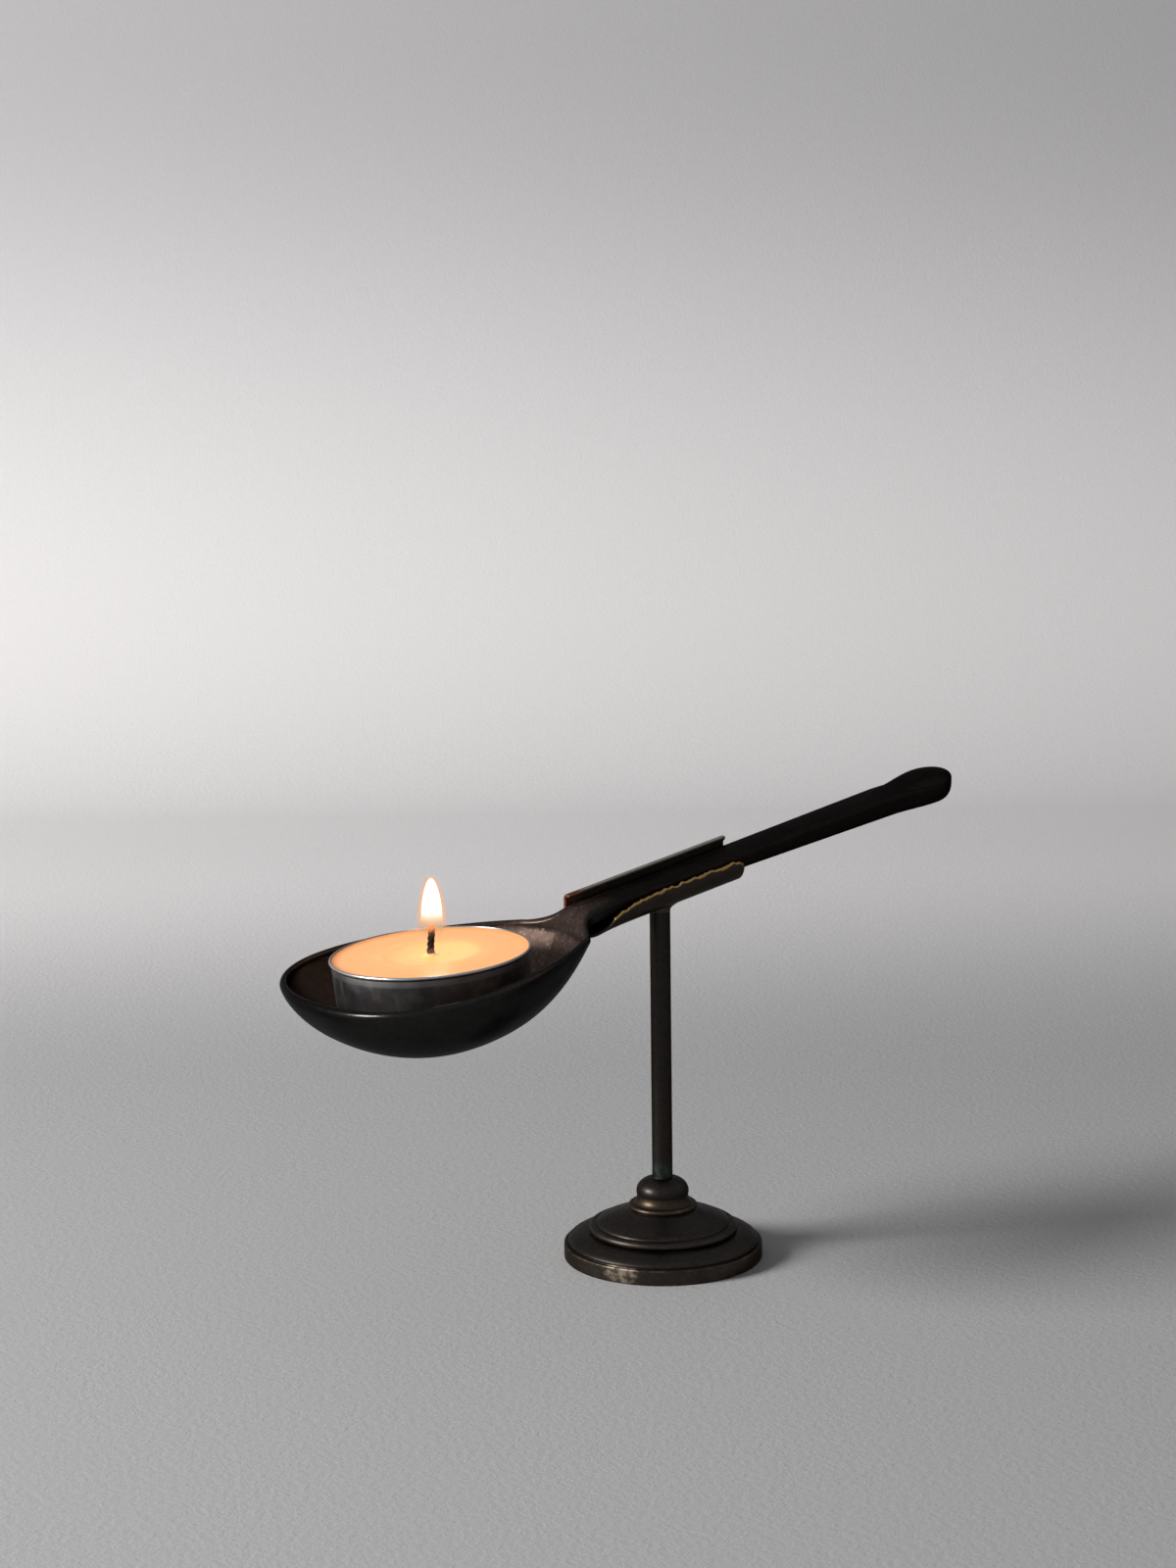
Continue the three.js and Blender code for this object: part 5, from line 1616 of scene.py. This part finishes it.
class CANDLE_OT_stage(bpy.types.Operator):
    """Sets the floor and backdrop, the soft lamp from the left and the camera"""
    bl_idname = "candle_stand.stage"
    bl_label = "Stage, lights and camera"

    def execute(self, context):
        scene, settings = context.scene, context.scene.candle_stage
        sweep = bpy.data.objects.new("sweep", sweep_mesh())
        scene.collection.objects.link(sweep)
        sweep.data.materials.append(stage_material(settings))
        sky(settings)
        key = bpy.data.lights.new("key", "AREA")
        key.shape, key.size, key.energy = "DISK", settings.key_size, settings.key_power
        key.color = LAMP_COLOUR
        lamp = bpy.data.objects.new("key", key)
        level = -VIEW_RIGHT * math.cos(settings.key_swing) - VIEW_HEADING * math.sin(settings.key_swing)
        towards = level * math.cos(settings.key_height) + Vector((0, 0, math.sin(settings.key_height)))
        lamp.location = towards * settings.key_distance + Vector((0, 0, 0.03))
        lamp.rotation_euler = towards.to_track_quat("Z", "Y").to_euler()
        scene.collection.objects.link(lamp)
        lens = bpy.data.cameras.new("camera")
        lens.lens, lens.sensor_width, lens.sensor_fit = settings.focal_length, SENSOR_WIDTH, "AUTO"
        camera = bpy.data.objects.new("camera", lens)
        up = Vector((0, 0, math.cos(CAMERA_DOWN))) + VIEW_HEADING * math.sin(CAMERA_DOWN)
        right = VIEW_RIGHT * math.cos(CAMERA_ROLL) - up * math.sin(CAMERA_ROLL)
        upright = up * math.cos(CAMERA_ROLL) + VIEW_RIGHT * math.sin(CAMERA_ROLL)
        axes = Matrix((right, upright, right.cross(upright))).transposed().to_4x4()
        camera.matrix_world = Matrix.Translation(CAMERA_AT) @ axes
        scene.collection.objects.link(camera)
        scene.camera = camera
        scene.view_settings.view_transform = "Standard"
        return {"FINISHED"}


OPERATORS = (CANDLE_OT_stage, CANDLE_OT_foot, CANDLE_OT_post, CANDLE_OT_clip, CANDLE_OT_spoon,
             CANDLE_OT_cup, CANDLE_OT_wax, CANDLE_OT_wick, CANDLE_OT_flame)
GROUPS = {"candle_foot": FootSizes, "candle_post": PostSizes, "candle_clip": ClipSizes,
          "candle_spoon": SpoonSizes, "candle_tealight": TealightSizes, "candle_flame": FlameSizes,
          "candle_finishes": Finishes, "candle_stage": StageSettings}


class CANDLE_PT_panel(bpy.types.Panel):
    """Lists the pieces of the candle stand"""
    bl_idname = "CANDLE_PT_panel"
    bl_label = "Candle stand"
    bl_space_type = "VIEW_3D"
    bl_region_type = "UI"
    bl_category = "Candle stand"

    def draw(self, context):
        for operator in OPERATORS:
            self.layout.operator(operator.bl_idname)


def register():
    for kind in (*GROUPS.values(), *OPERATORS, CANDLE_PT_panel):
        bpy.utils.register_class(kind)
    for name, kind in GROUPS.items():
        setattr(bpy.types.Scene, name, PointerProperty(type=kind))


def unregister():
    for name in GROUPS:
        delattr(bpy.types.Scene, name)
    for kind in (CANDLE_PT_panel, *OPERATORS, *GROUPS.values()):
        bpy.utils.unregister_class(kind)


def main():
    register()
    for operator in OPERATORS:
        family, action = operator.bl_idname.split(".")
        getattr(getattr(bpy.ops, family), action)()


if __name__ == "__main__":
    main()
